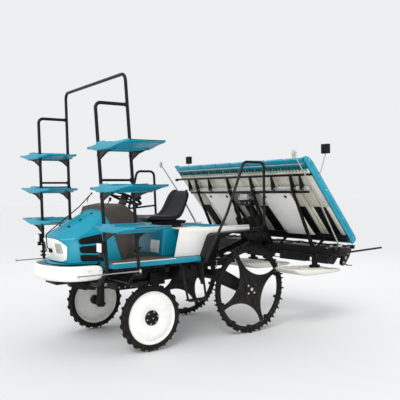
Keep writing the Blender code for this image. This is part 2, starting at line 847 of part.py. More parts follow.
def rack_frames(root):
    """Rear hoop and front frame of bent tube, joined to each other at the posts."""
    rear = RACK_FRONT + RACK_SPACING
    foot = RAIL_Z - GAP - RACK_TUBE_R

    def upright(station, top):
        return [
            point(0, station, foot), point(0.60, station, foot),
            post_point(0, station, RACK_BASE_Z + 0.03), post_point(0, station, top),
        ]

    left = upright(rear, RACK_TOP_Z)
    hoop = tube(left[1:] + flipped(left[1:]), RACK_TUBE_R, 0.07)
    sole = tube([point(-0.61, rear, foot), point(0.61, rear, foot)], RACK_TUBE_R)
    lugs = [
        box(
            (sx * SIDE_MARKER_X - 0.016 - (0.055 if sx > 0 else 0), at(rear) - 0.014, SIDE_MARKER_Z - 0.030),
            (sx * SIDE_MARKER_X + 0.016 + (0.055 if sx < 0 else 0), at(rear) + 0.014, SIDE_MARKER_Z - 0.014 - GAP),
        )
        for sx in (1, -1)
    ]
    part("rack_rear_hoop", fused([hoop, sole] + saddles(rear) + lugs + gussets(rear)), BLACK, root)

    pieces = []
    for side in (1, -1):
        path = upright(RACK_FRONT, RACK_BAR_Z)[1:]
        path.append(post_point(0, rear, RACK_BAR_Z) - Vector((0, RACK_TUBE_R + 3 * GAP, 0)))
        rung = [
            post_point(0, RACK_FRONT, RACK_RUNG_Z),
            post_point(0, rear, RACK_RUNG_Z) - Vector((0, RACK_TUBE_R + 3 * GAP, 0)),
        ]
        if side < 0:
            path, rung = flipped(path), flipped(rung)
        pieces += [tube(path, RACK_TUBE_R, 0.05), tube(rung, RACK_TUBE_R * 0.7)]
    pieces.append(tube([point(-0.61, RACK_FRONT, foot), point(0.61, RACK_FRONT, foot)], RACK_TUBE_R))
    pieces += saddles(RACK_FRONT) + gussets(RACK_FRONT) + headlamps()
    part("rack_front_frame", fused(pieces), BLACK, root)


def shelves(root):
    """Seedling shelves, three a side, each pierced by its two posts."""
    middle = RACK_FRONT + RACK_SPACING / 2
    half_t = SHELF_T / 2
    for level, name in zip(SHELF_Z, ("low", "middle", "top")):
        for side_name, side in SIDES:
            base = post_point(0, middle, level)
            shape = [
                (-SHELF_INNER, -half_t), (SHELF_OUTER * 0.55, -half_t), (SHELF_OUTER, 0.004),
                (SHELF_OUTER, 0.024), (0.32, half_t + 0.008), (0.08, half_t + 0.014),
                (-0.03, half_t - 0.002), (-SHELF_INNER, half_t - 0.008),
            ]
            board = slab(
                [(base.x + dx, level + dz) for dx, dz in shape],
                base.y - SHELF_HALF_L,
                base.y + SHELF_HALF_L,
                "Y",
            )
            holes = [
                rod(
                    post_point(0, station, level - 0.1),
                    post_point(0, station, level + 0.1),
                    RACK_TUBE_R + BORE_CLEAR,
                    sides=24,
                )
                for station in (RACK_FRONT, RACK_FRONT + RACK_SPACING)
            ]
            shelf = mirrored(cut(board, holes), side)
            part(f"shelf_{name}_{side_name}", shelf, TEAL, root)


def headlamps():
    """Work lamps clamped to the front posts."""
    lamps = []
    for side in (1, -1):
        back = post_point(0, RACK_FRONT, 1.05)
        front = back.y - RACK_TUBE_R + 0.003
        for half, drop, low, high in ((0.042, 0.0, 1.005, 1.095), (0.012, 0.012, 0.965, 1.01)):
            xs = sorted((side * (back.x - half), side * (back.x + half)))
            lamps.append(box((xs[0], front - 0.06 + drop, low), (xs[1], front - drop, high)))
    return lamps


def field_markers(root):
    """Folding centre pole on the nose and swinging rods at the rack's feet."""
    base = point(0, -0.752, 0.975 + 0.012 + GAP)
    hinge = pivot("centre_marker_pivot", base, root)
    path = [base, point(0, -0.79, 1.01), point(0, -0.80, 1.14), point(0, -0.45, 1.40), point(0, -0.31, 1.535)]
    pole = fused([tube(path, 0.006, 0.02), rod(path[0] - Vector((0.016, 0, 0)), path[0] + Vector((0.016, 0, 0)), 0.012)])
    part("centre_marker", pole, BLACK, hinge)
    station = RACK_FRONT + RACK_SPACING
    for side_name, side in SIDES:
        place = point(side * SIDE_MARKER_X, station, SIDE_MARKER_Z)
        swing = pivot(f"side_marker_{side_name}_pivot", place, root)
        eye = rod(
            point(SIDE_MARKER_X, station, SIDE_MARKER_Z - 0.014),
            point(SIDE_MARKER_X, station, SIDE_MARKER_Z + 0.014),
            0.014,
        )
        reach = tube(
            [point(SIDE_MARKER_X, station, SIDE_MARKER_Z), point(SIDE_MARKER_X, station - SIDE_MARKER_L, SIDE_MARKER_Z)],
            0.006,
        )
        tip = rod(
            point(SIDE_MARKER_X, station - SIDE_MARKER_L - 0.012, SIDE_MARKER_Z),
            point(SIDE_MARKER_X, station - SIDE_MARKER_L + 0.012, SIDE_MARKER_Z),
            0.013,
        )
        part(f"side_marker_{side_name}", mirrored(fused([eye, reach, tip]), side), WHITE, swing)


# ---------------------------------------------------------------- lift linkage


def raised(place, rise):
    return (place[0], place[1] + rise)


def lift_linkage(root):
    """Parallel links that carry the planting unit, and the lift cylinder."""
    lift = pivot("lift_pivot", point(0, *LINK_CHASSIS), root)
    low, high = LINK_ARM_X
    pieces = []
    for side in (1, -1):
        arm = side_view(
            bar_outline(LINK_CHASSIS, LINK_PLANTER, 0.034, 0.032), *sorted((side * low, side * high))
        )
        pieces.append(bored(arm, (LINK_CHASSIS, LINK_PLANTER), *sorted((side * low, side * high))))
    share = 0.16
    brace = tuple(a + (b - a) * share for a, b in zip(LINK_CHASSIS, LINK_PLANTER))
    pieces.append(rod(point(-low - 0.01, *brace), point(low + 0.01, *brace), 0.022))
    for side in (1, -1):
        pieces.append(
            side_view(bar_outline(brace, CRANK_PIN, 0.024, 0.022), *sorted((side * 0.016, side * 0.028)))
        )
    part("lower_link", fused(pieces), BLACK, lift)

    upper, rear = raised(LINK_CHASSIS, LINK_RISE), raised(LINK_PLANTER, LINK_RISE)
    top = side_view(bar_outline(upper, rear, 0.026, 0.026), -0.018, 0.018)
    hinge = pivot("top_link_pivot", point(0, *upper), root)
    part("top_link", bored(top, (upper, rear), -0.018, 0.018), BLACK, hinge)

    along = Vector((CRANK_PIN[0] - CYLINDER_PIVOT[0], CRANK_PIN[1] - CYLINDER_PIVOT[1]))
    length = along.length

    def on_cylinder(x, distance):
        place = Vector(CYLINDER_PIVOT) + along * (distance / length)
        return point(x, place.x, place.y)

    swing = pivot("cylinder_pivot", point(0, *CYLINDER_PIVOT), root)
    mouth = length - 0.055
    eye = side_view(bar_outline(CYLINDER_PIVOT, (CYLINDER_PIVOT[0] + 0.04, CYLINDER_PIVOT[1]), 0.024, 0.020), -0.016, 0.016)
    barrel = fused([bored(eye, (CYLINDER_PIVOT,), -0.016, 0.016), rod(on_cylinder(0, 0.036), on_cylinder(0, mouth), CYLINDER_R)])
    bore = rod(on_cylinder(0, 0.06), on_cylinder(0, mouth + 0.01), ROD_R + BORE_CLEAR, sides=24)
    part("lift_cylinder", cut(barrel, [bore]), BLACK, swing)
    stroke = pivot("cylinder_stroke", on_cylinder(0, mouth), swing)
    knob = side_view(disc(CRANK_PIN, 0.021), -0.010, 0.010)
    shaft = rod(on_cylinder(0, 0.07), on_cylinder(0, length - 0.017), ROD_R)
    pin = rod(point(-0.014, *CRANK_PIN), point(0.014, *CRANK_PIN), 0.009)
    part("cylinder_rod", fused([knob, shaft, pin]), GREY, stroke)
    return lift


def disc(centre, radius):
    return disc_outline(centre, radius, 20)


# ---------------------------------------------------------------- planting unit


def on_tray(x, down, out):
    """Point measured down the tray's slope and out from its seedling face."""
    station = TRAY_TOP[0] + down * math.sin(TRAY_TILT) + out * math.cos(TRAY_TILT)
    height = TRAY_TOP[1] - down * math.cos(TRAY_TILT) + out * math.sin(TRAY_TILT)
    return point(x, station, height)


def tray_slab(low_x, high_x, low_down, high_down, low_out, high_out):
    """A block lined up with the tray's slope."""
    outline = []
    for down, out in ((low_down, low_out), (high_down, low_out), (high_down, high_out), (low_down, high_out)):
        place = on_tray(0, down, out)
        outline.append((place.y, place.z))
    return slab(outline, low_x, high_x)


def tray_half_width():
    return ROWS * ROW_PITCH / 2 + TRAY_SIDE_T


def seedling_tray(unit):
    """Sloping tray with a divider between rows, which shuttles sideways."""
    shuttle = pivot("tray_shuttle", on_tray(0, 0, 0), unit)
    half = tray_half_width()
    pieces = [tray_slab(-half + 0.004, half - 0.004, 0, TRAY_LENGTH, 0, TRAY_T)]
    for row in range(1, ROWS):
        x = (row - ROWS / 2) * ROW_PITCH
        pieces.append(tray_slab(x - 0.008, x + 0.008, 0.03, TRAY_LENGTH - 0.01, TRAY_T - 0.004, TRAY_T + DIVIDER_H))
    for side in (1, -1):
        xs = sorted((side * (half - TRAY_SIDE_T), side * half))
        pieces.append(tray_slab(*xs, -0.02, TRAY_LENGTH + 0.01, 0.001, TRAY_T + 0.065))
    for side in (1, -1):
        foot = on_tray(half - 0.004, 0.27, 0.05)
        top = Vector((half + 0.05, foot.y + 0.06, foot.z + 0.24))
        stay = [foot, foot + Vector((0.02, 0.02, 0.06)), top]
        lamp = (top - Vector((0.05, 0.025, 0)), top + Vector((0.05, 0.025, 0.10)))
        if side < 0:
            stay = flipped(stay)
            lamp = (Vector((-lamp[1].x, lamp[0].y, lamp[0].z)), Vector((-lamp[0].x, lamp[1].y, lamp[1].z)))
        pieces += [tube(stay, 0.006), box(*lamp)]
    part("seedling_tray", fused(pieces), TEAL, shuttle)


def case_positions():
    """X of each planting case, midway between the two rows that it serves."""
    return [(i + 0.5 - ROWS / 4) * 2 * ROW_PITCH for i in range(ROWS // 2)]


def planting_unit(lift):
    """Everything that the linkage raises behind the chassis."""
    unit = pivot("planter_pivot", point(0, *LINK_PLANTER), lift)
    half = tray_half_width()
    b = BEAM_SIZE / 2
    beam_half = half - 0.02
    pieces = [box(point(-beam_half, BEAM_STATION - b, BEAM_Z - b), point(beam_half, BEAM_STATION + b, BEAM_Z + b))]
    rotor = (ROTOR_STATION, ROTOR_Z)
    for x in case_positions():
        arm = side_view(bar_outline((BEAM_STATION, BEAM_Z), rotor, 0.036, 0.042), x - CASE_HALF_W, x + CASE_HALF_W)
        pieces.append(bored(arm, (rotor,), x - CASE_HALF_W, x + CASE_HALF_W, ROTOR_SHAFT_R))
    for x in FLOAT_STRUT_X:
        pieces.append(
            box(
                point(x - 0.015, BEAM_STATION - 0.03, FLOAT_BOTTOM + FLOAT_T + GAP),
                point(x + 0.015, BEAM_STATION + 0.03, BEAM_Z - b + 0.01),
            )
        )
    for side in (1, -1):
        guard = [
            point(beam_half - 0.02, BEAM_STATION, BEAM_Z), point(beam_half + 0.10, BEAM_STATION + 0.12, BEAM_Z),
            point(beam_half + 0.10, REAR_REACH, BEAM_Z + 0.015),
        ]
        if side < 0:
            guard = flipped(guard)
        pieces.append(tube(guard, 0.011, 0.05))
    for side in (1, -1):
        xs = sorted((side * (beam_half - 0.02), side * (MARKER_X + 0.02)))
        seat = MARKER_BASE[1] - MARKER_EYE_R - GAP
        pieces.append(box(point(xs[0], BEAM_STATION - 0.018, BEAM_Z - 0.02), point(xs[1], BEAM_STATION + 0.018, seat)))
    rail_low = on_tray(0, TRAY_LENGTH - 0.10, 0)
    pieces.append(tray_slab(-half, half, TRAY_LENGTH - 0.12, TRAY_LENGTH - 0.07, -0.045, -GAP))
    for x in (-0.9, -0.3, 0.3, 0.9):
        pieces.append(
            side_view(
                [
                    (BEAM_STATION, BEAM_Z + 0.0), (BEAM_STATION + 0.03, BEAM_Z + 0.01),
                    (rail_low.y - FRONT_AXLE_Y - 0.01, rail_low.z - 0.03),
                    (rail_low.y - FRONT_AXLE_Y - 0.03, rail_low.z - 0.005),
                ],
                x - 0.012,
                x + 0.012,
            )
        )
    part("planter_beam", fused(pieces), BLACK, unit)

    top_pin = raised(LINK_PLANTER, LINK_RISE)
    beam_front, beam_top = BEAM_STATION - b - GAP, BEAM_Z + b + GAP
    pieces = []
    for side in (1, -1):
        cheek = side_view(
            [
                (LINK_PLANTER[0] - 0.03, LINK_PLANTER[1] - 0.035), (beam_front, LINK_PLANTER[1] - 0.09),
                (beam_front, beam_top), (BEAM_STATION + b, beam_top), (BEAM_STATION + b, beam_top + 0.04),
                (top_pin[0] + 0.035, top_pin[1]), (top_pin[0] + 0.02, top_pin[1] + 0.03),
                (top_pin[0] - 0.03, top_pin[1] + 0.03),
            ],
            *sorted((side * 0.085, side * 0.105)),
        )
        pieces.append(cheek)
    pieces.append(rod(point(-0.168, *LINK_PLANTER), point(0.168, *LINK_PLANTER), PIN_R))
    pieces.append(rod(point(-0.095, *top_pin), point(0.095, *top_pin), PIN_R))
    part("hitch_frame", fused(pieces), BLACK, unit)

    p = PIPE_SIZE / 2
    pipe = box(point(-1.12, PIPE_STATION - p, PIPE_Z - p), point(1.12, PIPE_STATION + p, PIPE_Z + p))

    guide = on_tray(0, 0.19, -GUIDE_R - GAP)
    guide_at = (guide.y - FRONT_AXLE_Y, guide.z)
    pieces = [pipe, rod(point(-half, *guide_at), point(half, *guide_at), GUIDE_R, sides=12)]
    pipe_face = PIPE_STATION - p + 0.004
    for x in [side * u for u in UPRIGHT_X for side in (1, -1)]:
        pieces.append(
            side_view(
                [
                    (BEAM_STATION - 0.035, beam_top), (BEAM_STATION + 0.0, beam_top),
                    (pipe_face, PIPE_Z - p), (pipe_face, PIPE_Z + p - 0.004),
                    (PIPE_STATION - 0.01, PIPE_Z + p - 0.004), (guide_at[0] + 0.008, guide_at[1] - 0.006),
                    (guide_at[0] - 0.012, guide_at[1] + 0.004), (pipe_face - 0.03, PIPE_Z),
                ],
                x - 0.014,
                x + 0.014,
            )
        )
    part("tray_frame", fused(pieces), BLACK, unit)

    for side_name, side in SIDES:
        pipe_under = PIPE_Z - p - GAP
        end = on_tray(0, TRAY_LENGTH - COVER_ABOVE_RAIL, -COVER_BEHIND_TRAY)
        foot = (end.y - FRONT_AXLE_Y, end.z)
        cover = side_view(
            [
                (PIPE_STATION - 0.02, pipe_under), (PIPE_STATION + 0.01, pipe_under),
                (PIPE_STATION + 0.028, pipe_under - 0.03), foot,
                (foot[0] - 0.01, foot[1] - 0.01), (PIPE_STATION + 0.008, pipe_under - 0.045),
            ],
            *COVER_X,
        )
        part(f"planter_cover_{side_name}", mirrored(cover, side), WHITE, unit)
    floats = [("centre", 0.0, FLOAT_CENTRE_W)]
    floats += [(side_name, side * FLOAT_X, FLOAT_SIDE_W) for side_name, side in SIDES]
    for name, x, width in floats:
        rear = FLOAT_REAR
        low, high = FLOAT_BOTTOM, FLOAT_BOTTOM + FLOAT_T
        board = side_view(
            [
                (FLOAT_FRONT, high - 0.02), (FLOAT_FRONT + 0.03, low + 0.035), (FLOAT_FRONT + 0.12, low),
                (rear, low + 0.01), (rear, low + 0.045), (FLOAT_FRONT + 0.5, high), (FLOAT_FRONT + 0.02, high),
            ],
            x - width / 2,
            x + width / 2,
        )
        part(f"float_{name}", board, WHITE, unit)
    return unit


def planting_rotors(unit):
    """Each case's pair of rotary arms with claws, on one shaft."""
    centre = (ROTOR_STATION, ROTOR_Z)
    for i, x in enumerate(case_positions(), 1):
        shaft = pivot(f"rotor_{i}_shaft", point(x, *centre), unit)
        pieces = [rod(point(x - 0.08, *centre), point(x + 0.08, *centre), ROTOR_SHAFT_R)]
        for side in (1, -1):
            xs = sorted((x + side * 0.062, x + side * 0.098))
            for turn in (1, -1):
                tip = (centre[0] + turn * 0.055, centre[1] + turn * 0.085)
                pieces.append(side_view(bar_outline(centre, tip, 0.048, 0.032), *xs))
                knuckle = (tip[0] + turn * 0.012, tip[1] + turn * 0.018)
                claw_x = sorted((x + side * 0.085, x + side * 0.152))
                claw = side_view(
                    [
                        (tip[0] - 0.012, tip[1] - 0.012), (tip[0] + 0.012, tip[1] - 0.012),
                        (knuckle[0] + 0.012, knuckle[1] + 0.012), (knuckle[0] - 0.012, knuckle[1] + 0.012),
                    ],
                    *claw_x,
                )
                finger_x = sorted((x + side * 0.134, x + side * 0.152))
                finger = side_view(
                    [
                        (knuckle[0] - 0.008, knuckle[1] + 0.008), (knuckle[0] + 0.008, knuckle[1] - 0.002),
                        (knuckle[0] - turn * 0.09 + 0.004, knuckle[1] + turn * 0.012 - 0.004),
                        (knuckle[0] - turn * 0.09, knuckle[1] + turn * 0.012 + 0.004),
                    ],
                    *finger_x,
                )
                pieces += [claw, finger]
        part(f"planting_rotor_{i}", fused(pieces), IRON, shaft)


def line_markers(unit):
    """Arms with a star wheel that fold out sideways to scratch the next line."""
    for side_name, side in SIDES:
        hinge = pivot(f"line_marker_{side_name}_pivot", point(side * MARKER_X, *MARKER_BASE), unit)
        base, tip = point(MARKER_X, *MARKER_BASE), point(MARKER_X, *MARKER_TIP)
        pieces = [
            rod(base - Vector((0, 0.03, 0)), base + Vector((0, 0.03, 0)), MARKER_EYE_R, sides=24),
            tube([base, base.lerp(tip, 0.5) + Vector((0.0, 0.02, 0.02)), tip], 0.008),
            rod(tip - Vector((0, 0.012, 0.0)), tip + Vector((0, 0.012, 0.0)), 0.055, sides=10),
        ]
        part(f"line_marker_{side_name}", mirrored(fused(pieces), side), GREY, hinge)


def build():
    global PARTS
    for old in list(bpy.data.objects):
        bpy.data.objects.remove(old)
    PARTS = bpy.data.collections.new("rice transplanter")
    bpy.context.scene.collection.children.link(PARTS)
    root = pivot("chassis", (0, 0, 0))
    chassis_frame(root)
    running_gear(root)
    engine(root)
    hood(root)
    bumper(root)
    console(root)
    floor(root)
    seat_and_base(root)
    rear_body(root)
    rails_and_steps(root)
    rack_frames(root)
    shelves(root)
    field_markers(root)
    steering_wheel(root)
    for side_name, side in SIDES:
        steered_corner(side_name, side, root)
        hub = pivot(f"{side_name}_rear_hub", point(side * TRACK / 2, WHEELBASE, REAR_WHEEL_D / 2), root)
        rear_wheel(side_name, side, hub)
    lift = lift_linkage(root)
    unit = planting_unit(lift)
    seedling_tray(unit)
    planting_rotors(unit)
    line_markers(unit)


build()
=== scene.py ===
"""Looks for the rice transplanter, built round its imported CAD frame.

Metres, +Z up, the machine faces -Y and its left side is +X.  Stations are measured
back from the front axle, and P(x, station, z) turns one into a point.
"""

import json
import math
import random

import bmesh
import bpy
from mathutils import Matrix, Vector

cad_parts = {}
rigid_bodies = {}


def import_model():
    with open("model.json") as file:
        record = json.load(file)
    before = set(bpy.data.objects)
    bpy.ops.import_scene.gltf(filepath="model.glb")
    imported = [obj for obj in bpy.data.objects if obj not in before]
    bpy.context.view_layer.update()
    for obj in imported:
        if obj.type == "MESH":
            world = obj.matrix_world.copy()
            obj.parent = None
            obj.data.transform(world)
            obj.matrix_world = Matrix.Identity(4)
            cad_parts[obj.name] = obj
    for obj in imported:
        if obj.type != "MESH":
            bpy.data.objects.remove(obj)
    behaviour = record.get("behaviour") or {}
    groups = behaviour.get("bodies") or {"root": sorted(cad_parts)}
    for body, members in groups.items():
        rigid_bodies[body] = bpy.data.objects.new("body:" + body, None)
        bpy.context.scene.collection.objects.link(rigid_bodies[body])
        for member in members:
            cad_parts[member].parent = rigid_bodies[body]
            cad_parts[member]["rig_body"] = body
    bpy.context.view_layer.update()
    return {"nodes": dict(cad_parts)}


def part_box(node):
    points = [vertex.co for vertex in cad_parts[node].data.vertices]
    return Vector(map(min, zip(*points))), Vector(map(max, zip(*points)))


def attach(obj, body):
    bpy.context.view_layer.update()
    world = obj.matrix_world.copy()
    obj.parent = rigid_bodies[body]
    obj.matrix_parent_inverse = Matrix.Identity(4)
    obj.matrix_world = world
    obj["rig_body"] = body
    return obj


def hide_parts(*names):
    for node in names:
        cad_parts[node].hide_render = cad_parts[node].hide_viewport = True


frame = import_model()
random.seed(7)

tyre_low, tyre_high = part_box("front_tyre_left")
AXLE_Y = (tyre_low.y + tyre_high.y) / 2
SIDES = (("left", 1), ("right", -1))


def P(x, station, z):
    """A point in the frame, from its distance behind the front axle."""
    return Vector((x, AXLE_Y + station, z))


# ---------------------------------------------------------------- materials


def node(tree, kind, **values):
    """A shader node with some of its inputs and settings filled in."""
    made = tree.nodes.new(kind)
    for name, value in values.items():
        if hasattr(made, name) and name not in made.inputs:
            setattr(made, name, value)
        else:
            made.inputs[name.replace("_", " ")].default_value = value
    return made


def noise_of(tree, scale, detail=3.0, stretch=(1, 1, 1)):
    """Noise in the piece's own coordinates, so that it rides with the piece."""
    place = node(tree, "ShaderNodeTexCoord")
    mapped = node(tree, "ShaderNodeMapping")
    mapped.inputs["Scale"].default_value = stretch
    tree.links.new(place.outputs["Object"], mapped.inputs["Vector"])
    made = node(tree, "ShaderNodeTexNoise", Scale=scale, Detail=detail)
    tree.links.new(mapped.outputs["Vector"], made.inputs["Vector"])
    return made


def ramp_of(tree, source, stops):
    """Colours along a source value."""
    made = tree.nodes.new("ShaderNodeValToRGB")
    elements = made.color_ramp.elements
    while len(elements) < len(stops):
        elements.new(0.5)
    for element, (place, colour) in zip(elements, stops):
        element.position = place
        element.color = (*colour, 1)
    tree.links.new(source, made.inputs["Fac"])
    return made


def shade(colour, gain):
    """A colour made lighter or darker."""
    return tuple(min(1.0, c * gain) for c in colour)


def surface(
    name,
    colour,
    rough=0.4,
    metal=0.0,
    coat=0.0,
    blotch=0.06,
    grain=0.02,
    grain_scale=700.0,
    spread=0.10,
    dirt=None,
    wear=None,
    sheen=0.0,
    stretch=(1, 1, 1),
    shine=0.5,
):
    """A moulded, painted or cast surface: broad tone, fine grain, mud low down, worn edges."""
    made = bpy.data.materials.new(name)
    made.use_nodes = True
    tree = made.node_tree
    shader = tree.nodes["Principled BSDF"]
    shader.inputs["Metallic"].default_value = metal
    shader.inputs["Coat Weight"].default_value = coat
    shader.inputs["Coat Roughness"].default_value = 0.12
    shader.inputs["Sheen Weight"].default_value = sheen
    shader.inputs["Specular IOR Level"].default_value = shine
    broad = noise_of(tree, 5.0, 4.0, stretch)
    tone = ramp_of(tree, broad.outputs["Fac"], (
        (0.3, shade(colour, 1 - blotch)), (0.7, shade(colour, 1 + blotch))
    ))
    paint = tone.outputs["Color"]
    if wear:
        edge = node(tree, "ShaderNodeNewGeometry")
        chip = noise_of(tree, 60.0, 5.0)
        sum_of = node(tree, "ShaderNodeMath", operation="MULTIPLY_ADD")
        tree.links.new(chip.outputs["Fac"], sum_of.inputs[0])
        sum_of.inputs[1].default_value = 0.10
        tree.links.new(edge.outputs["Pointiness"], sum_of.inputs[2])
        mask = ramp_of(tree, sum_of.outputs["Value"], ((0.68, (0, 0, 0)), (0.74, (1, 1, 1))))
        mix = node(tree, "ShaderNodeMix", data_type="RGBA")
        tree.links.new(mask.outputs["Color"], mix.inputs["Factor"])
        tree.links.new(paint, mix.inputs["A"])
        mix.inputs["B"].default_value = (*wear, 1)
        paint = mix.outputs["Result"]
    if dirt:
        tint, top, strength = dirt
        place = node(tree, "ShaderNodeTexCoord")
        split = node(tree, "ShaderNodeSeparateXYZ")
        tree.links.new(place.outputs["Object"], split.inputs["Vector"])
        speck = noise_of(tree, 26.0, 8.0)
        height = node(tree, "ShaderNodeMapRange")
        height.inputs["From Min"].default_value = top
        height.inputs["From Max"].default_value = 0.0
        height.inputs["To Max"].default_value = strength
        tree.links.new(split.outputs["Z"], height.inputs["Value"])
        blot = ramp_of(tree, speck.outputs["Fac"], ((0.42, (0, 0, 0)), (0.62, (1, 1, 1))))
        amount = node(tree, "ShaderNodeMath", operation="MULTIPLY")
        tree.links.new(height.outputs["Result"], amount.inputs[0])
        tree.links.new(blot.outputs["Color"], amount.inputs[1])
        mix = node(tree, "ShaderNodeMix", data_type="RGBA")
        tree.links.new(amount.outputs["Value"], mix.inputs["Factor"])
        tree.links.new(paint, mix.inputs["A"])
        mix.inputs["B"].default_value = (*tint, 1)
        paint = mix.outputs["Result"]
    tree.links.new(paint, shader.inputs["Base Color"])
    smear = noise_of(tree, 14.0, 6.0, stretch)
    gloss = node(tree, "ShaderNodeMapRange")
    gloss.inputs["To Min"].default_value = max(0.03, rough - spread)
    gloss.inputs["To Max"].default_value = min(1.0, rough + spread)
    tree.links.new(smear.outputs["Fac"], gloss.inputs["Value"])
    tree.links.new(gloss.outputs["Result"], shader.inputs["Roughness"])
    fine = noise_of(tree, grain_scale, 2.0, stretch)
    bump = node(tree, "ShaderNodeBump", Strength=0.35, Distance=grain * 0.01)
    tree.links.new(fine.outputs["Fac"], bump.inputs["Height"])
    tree.links.new(bump.outputs["Normal"], shader.inputs["Normal"])
    return made


MUD = (0.22, 0.17, 0.11)
teal = surface(
    "teal_moulding", (0.0, 0.235, 0.335), 0.36, coat=0.10, blotch=0.07, grain=0.02, shine=0.35
)
# A darker copy of the teal for the recessed tray deck and the comb: painted shade.
teal_painted_shade = surface("teal_shaded", (0.0, 0.115, 0.135), 0.45, blotch=0.10, grain=0.04)
cream = surface("cream_moulding", (0.74, 0.73, 0.69), 0.34, coat=0.25, blotch=0.03, grain=0.02)
# A brighter copy of the cream for the down-facing planter guards, so they look lit where they fall
# in shade: painted light.
cream_painted_light = surface("cream_guard_painted_light", (0.90, 0.89, 0.86), 0.40, blotch=0.03, grain=0.02)
cream_low = surface("cream_float", (0.62, 0.605, 0.55), 0.45, blotch=0.05, dirt=(MUD, 0.9, 0.20))
cream_rim = surface(
    "cream_rim", (0.76, 0.755, 0.72), 0.28, coat=0.4, blotch=0.03, dirt=(MUD, 0.35, 0.25)
)
underside = surface(
    "cream_plank", (0.60, 0.575, 0.49), 0.5, blotch=0.10, grain=0.05, stretch=(0.2, 1, 1)
)
black = surface("black_enamel", (0.0045, 0.0045, 0.005), 0.36, coat=0.04, blotch=0.25,
                wear=(0.02, 0.02, 0.02), shine=0.16)
black_low = surface(
    "black_running_gear", (0.005, 0.005, 0.0055), 0.5, blotch=0.25, grain=0.25, grain_scale=260,
    dirt=(MUD, 0.75, 0.14), wear=(0.03, 0.03, 0.03), shine=0.16,
)
dash = surface(
    "dash_moulding", (0.050, 0.043, 0.036), 0.62, blotch=0.08, grain=0.30, grain_scale=900,
    shine=0.3
)
soft_black = surface(
    "soft_black", (0.005, 0.005, 0.005), 0.6, blotch=0.2, grain=0.18, grain_scale=500, shine=0.15
)
rubber = surface(
    "tyre_rubber", (0.006, 0.006, 0.006), 0.75, blotch=0.25, grain=0.30, grain_scale=300,
    dirt=((0.10, 0.08, 0.055), 0.8, 0.16), spread=0.12, shine=0.16,
)
vinyl = surface(
    "seat_vinyl", (0.004, 0.004, 0.0045), 0.42, blotch=0.2, grain=0.35, grain_scale=620, shine=0.22
)
mat = surface("floor_mat", (0.115, 0.098, 0.065), 0.8, blotch=0.12, grain=0.35, grain_scale=500)
steel = surface(
    "bare_steel", (0.42, 0.42, 0.41), 0.34, metal=1.0, blotch=0.10, grain=0.05, stretch=(1, 6, 1)
)
pipe_grey = surface("grey_pipe", (0.40, 0.41, 0.38), 0.36, metal=0.55, blotch=0.08, grain=0.05)
bronze = surface("plated_tread", (0.30, 0.28, 0.23), 0.42, metal=0.8, blotch=0.12, grain=0.08)
zinc = surface("zinc_bolt", (0.62, 0.60, 0.52), 0.30, metal=1.0, blotch=0.15)
plate = surface("blank_plate", (0.80, 0.80, 0.80), 0.30, coat=0.4, blotch=0.02)
red = surface("red_ribbon", (0.60, 0.02, 0.015), 0.55, blotch=0.08, grain=0.10, sheen=0.2)
cast = surface("cast_case", (0.008, 0.008, 0.0085), 0.55, blotch=0.25, grain=0.45, grain_scale=200,
               dirt=(MUD, 0.7, 0.12), shine=0.18)


def glassy(name, colour, rough, see):
    """A moulded lens."""
    made = surface(name, colour, rough, coat=0.6, blotch=0.04, grain=0.0)
    shader = made.node_tree.nodes["Principled BSDF"]
    shader.inputs["Transmission Weight"].default_value = see
    return made


clear = glassy("lamp_lens_clear", (0.85, 0.87, 0.88), 0.08, 0.25)
amber = glassy("lamp_lens_amber", (0.75, 0.20, 0.02), 0.12, 0.15)


# ---------------------------------------------------------------- building


def mended(bm):
    """The same bmesh, every face turned outwards."""
    bmesh.ops.recalc_face_normals(bm, faces=bm.faces)
    return bm


def piece(name, shape, look, body="chassis", smooth=40):
    """A finished piece riding on a body, from a bmesh or a mesh."""
    if isinstance(shape, bmesh.types.BMesh):
        mesh = bpy.data.meshes.new(name)
        mended(shape).to_mesh(mesh)
        shape.free()
    else:
        mesh = shape
    mesh.name = name
    made = bpy.data.objects.new(name, mesh)
    bpy.context.scene.collection.objects.link(made)
    mesh.materials.clear()
    for one in look if isinstance(look, (list, tuple)) else [look]:
        mesh.materials.append(one)
    mesh.shade_smooth()
    mesh.set_sharp_from_angle(angle=math.radians(smooth))
    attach(made, body)
    return made


def settled(made):
    """Apply a piece's modifiers to its mesh."""
    shaped = made.evaluated_get(bpy.context.evaluated_depsgraph_get())
    mesh = bpy.data.meshes.new_from_object(shaped)
    made.modifiers.clear()
    made.data = mesh
    return made


def eased(made, width, segments=2, angle=25):
    """Round a piece's hard edges, as a mould or a press leaves them."""
    bevel = made.modifiers.new("ease", "BEVEL")
    bevel.width = width
    bevel.segments = segments
    bevel.limit_method = "ANGLE"
    bevel.angle_limit = math.radians(angle)
    bevel.use_clamp_overlap = True
    bevel.harden_normals = False
    settled(made)
    made.data.shade_smooth()
    made.data.set_sharp_from_angle(angle=math.radians(50))
    return made


def cleaned(node_name):
    """The CAD node's shape as welded flat faces, for rounding."""
    bm = bmesh.new()
    bm.from_mesh(frame["nodes"][node_name].data)
    bmesh.ops.remove_doubles(bm, verts=bm.verts, dist=1e-5)
    bmesh.ops.dissolve_limit(bm, angle_limit=math.radians(1.0), verts=bm.verts, edges=bm.edges)
    return bm


def softened(node_name, look, width=0.004, segments=2, angle=25):
    """Stands for a CAD node, with its edges rounded."""
    body = frame["nodes"][node_name]["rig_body"]
    made = piece(node_name + "_skin", cleaned(node_name), look, body)
    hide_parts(node_name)
    return eased(made, width, segments, angle)


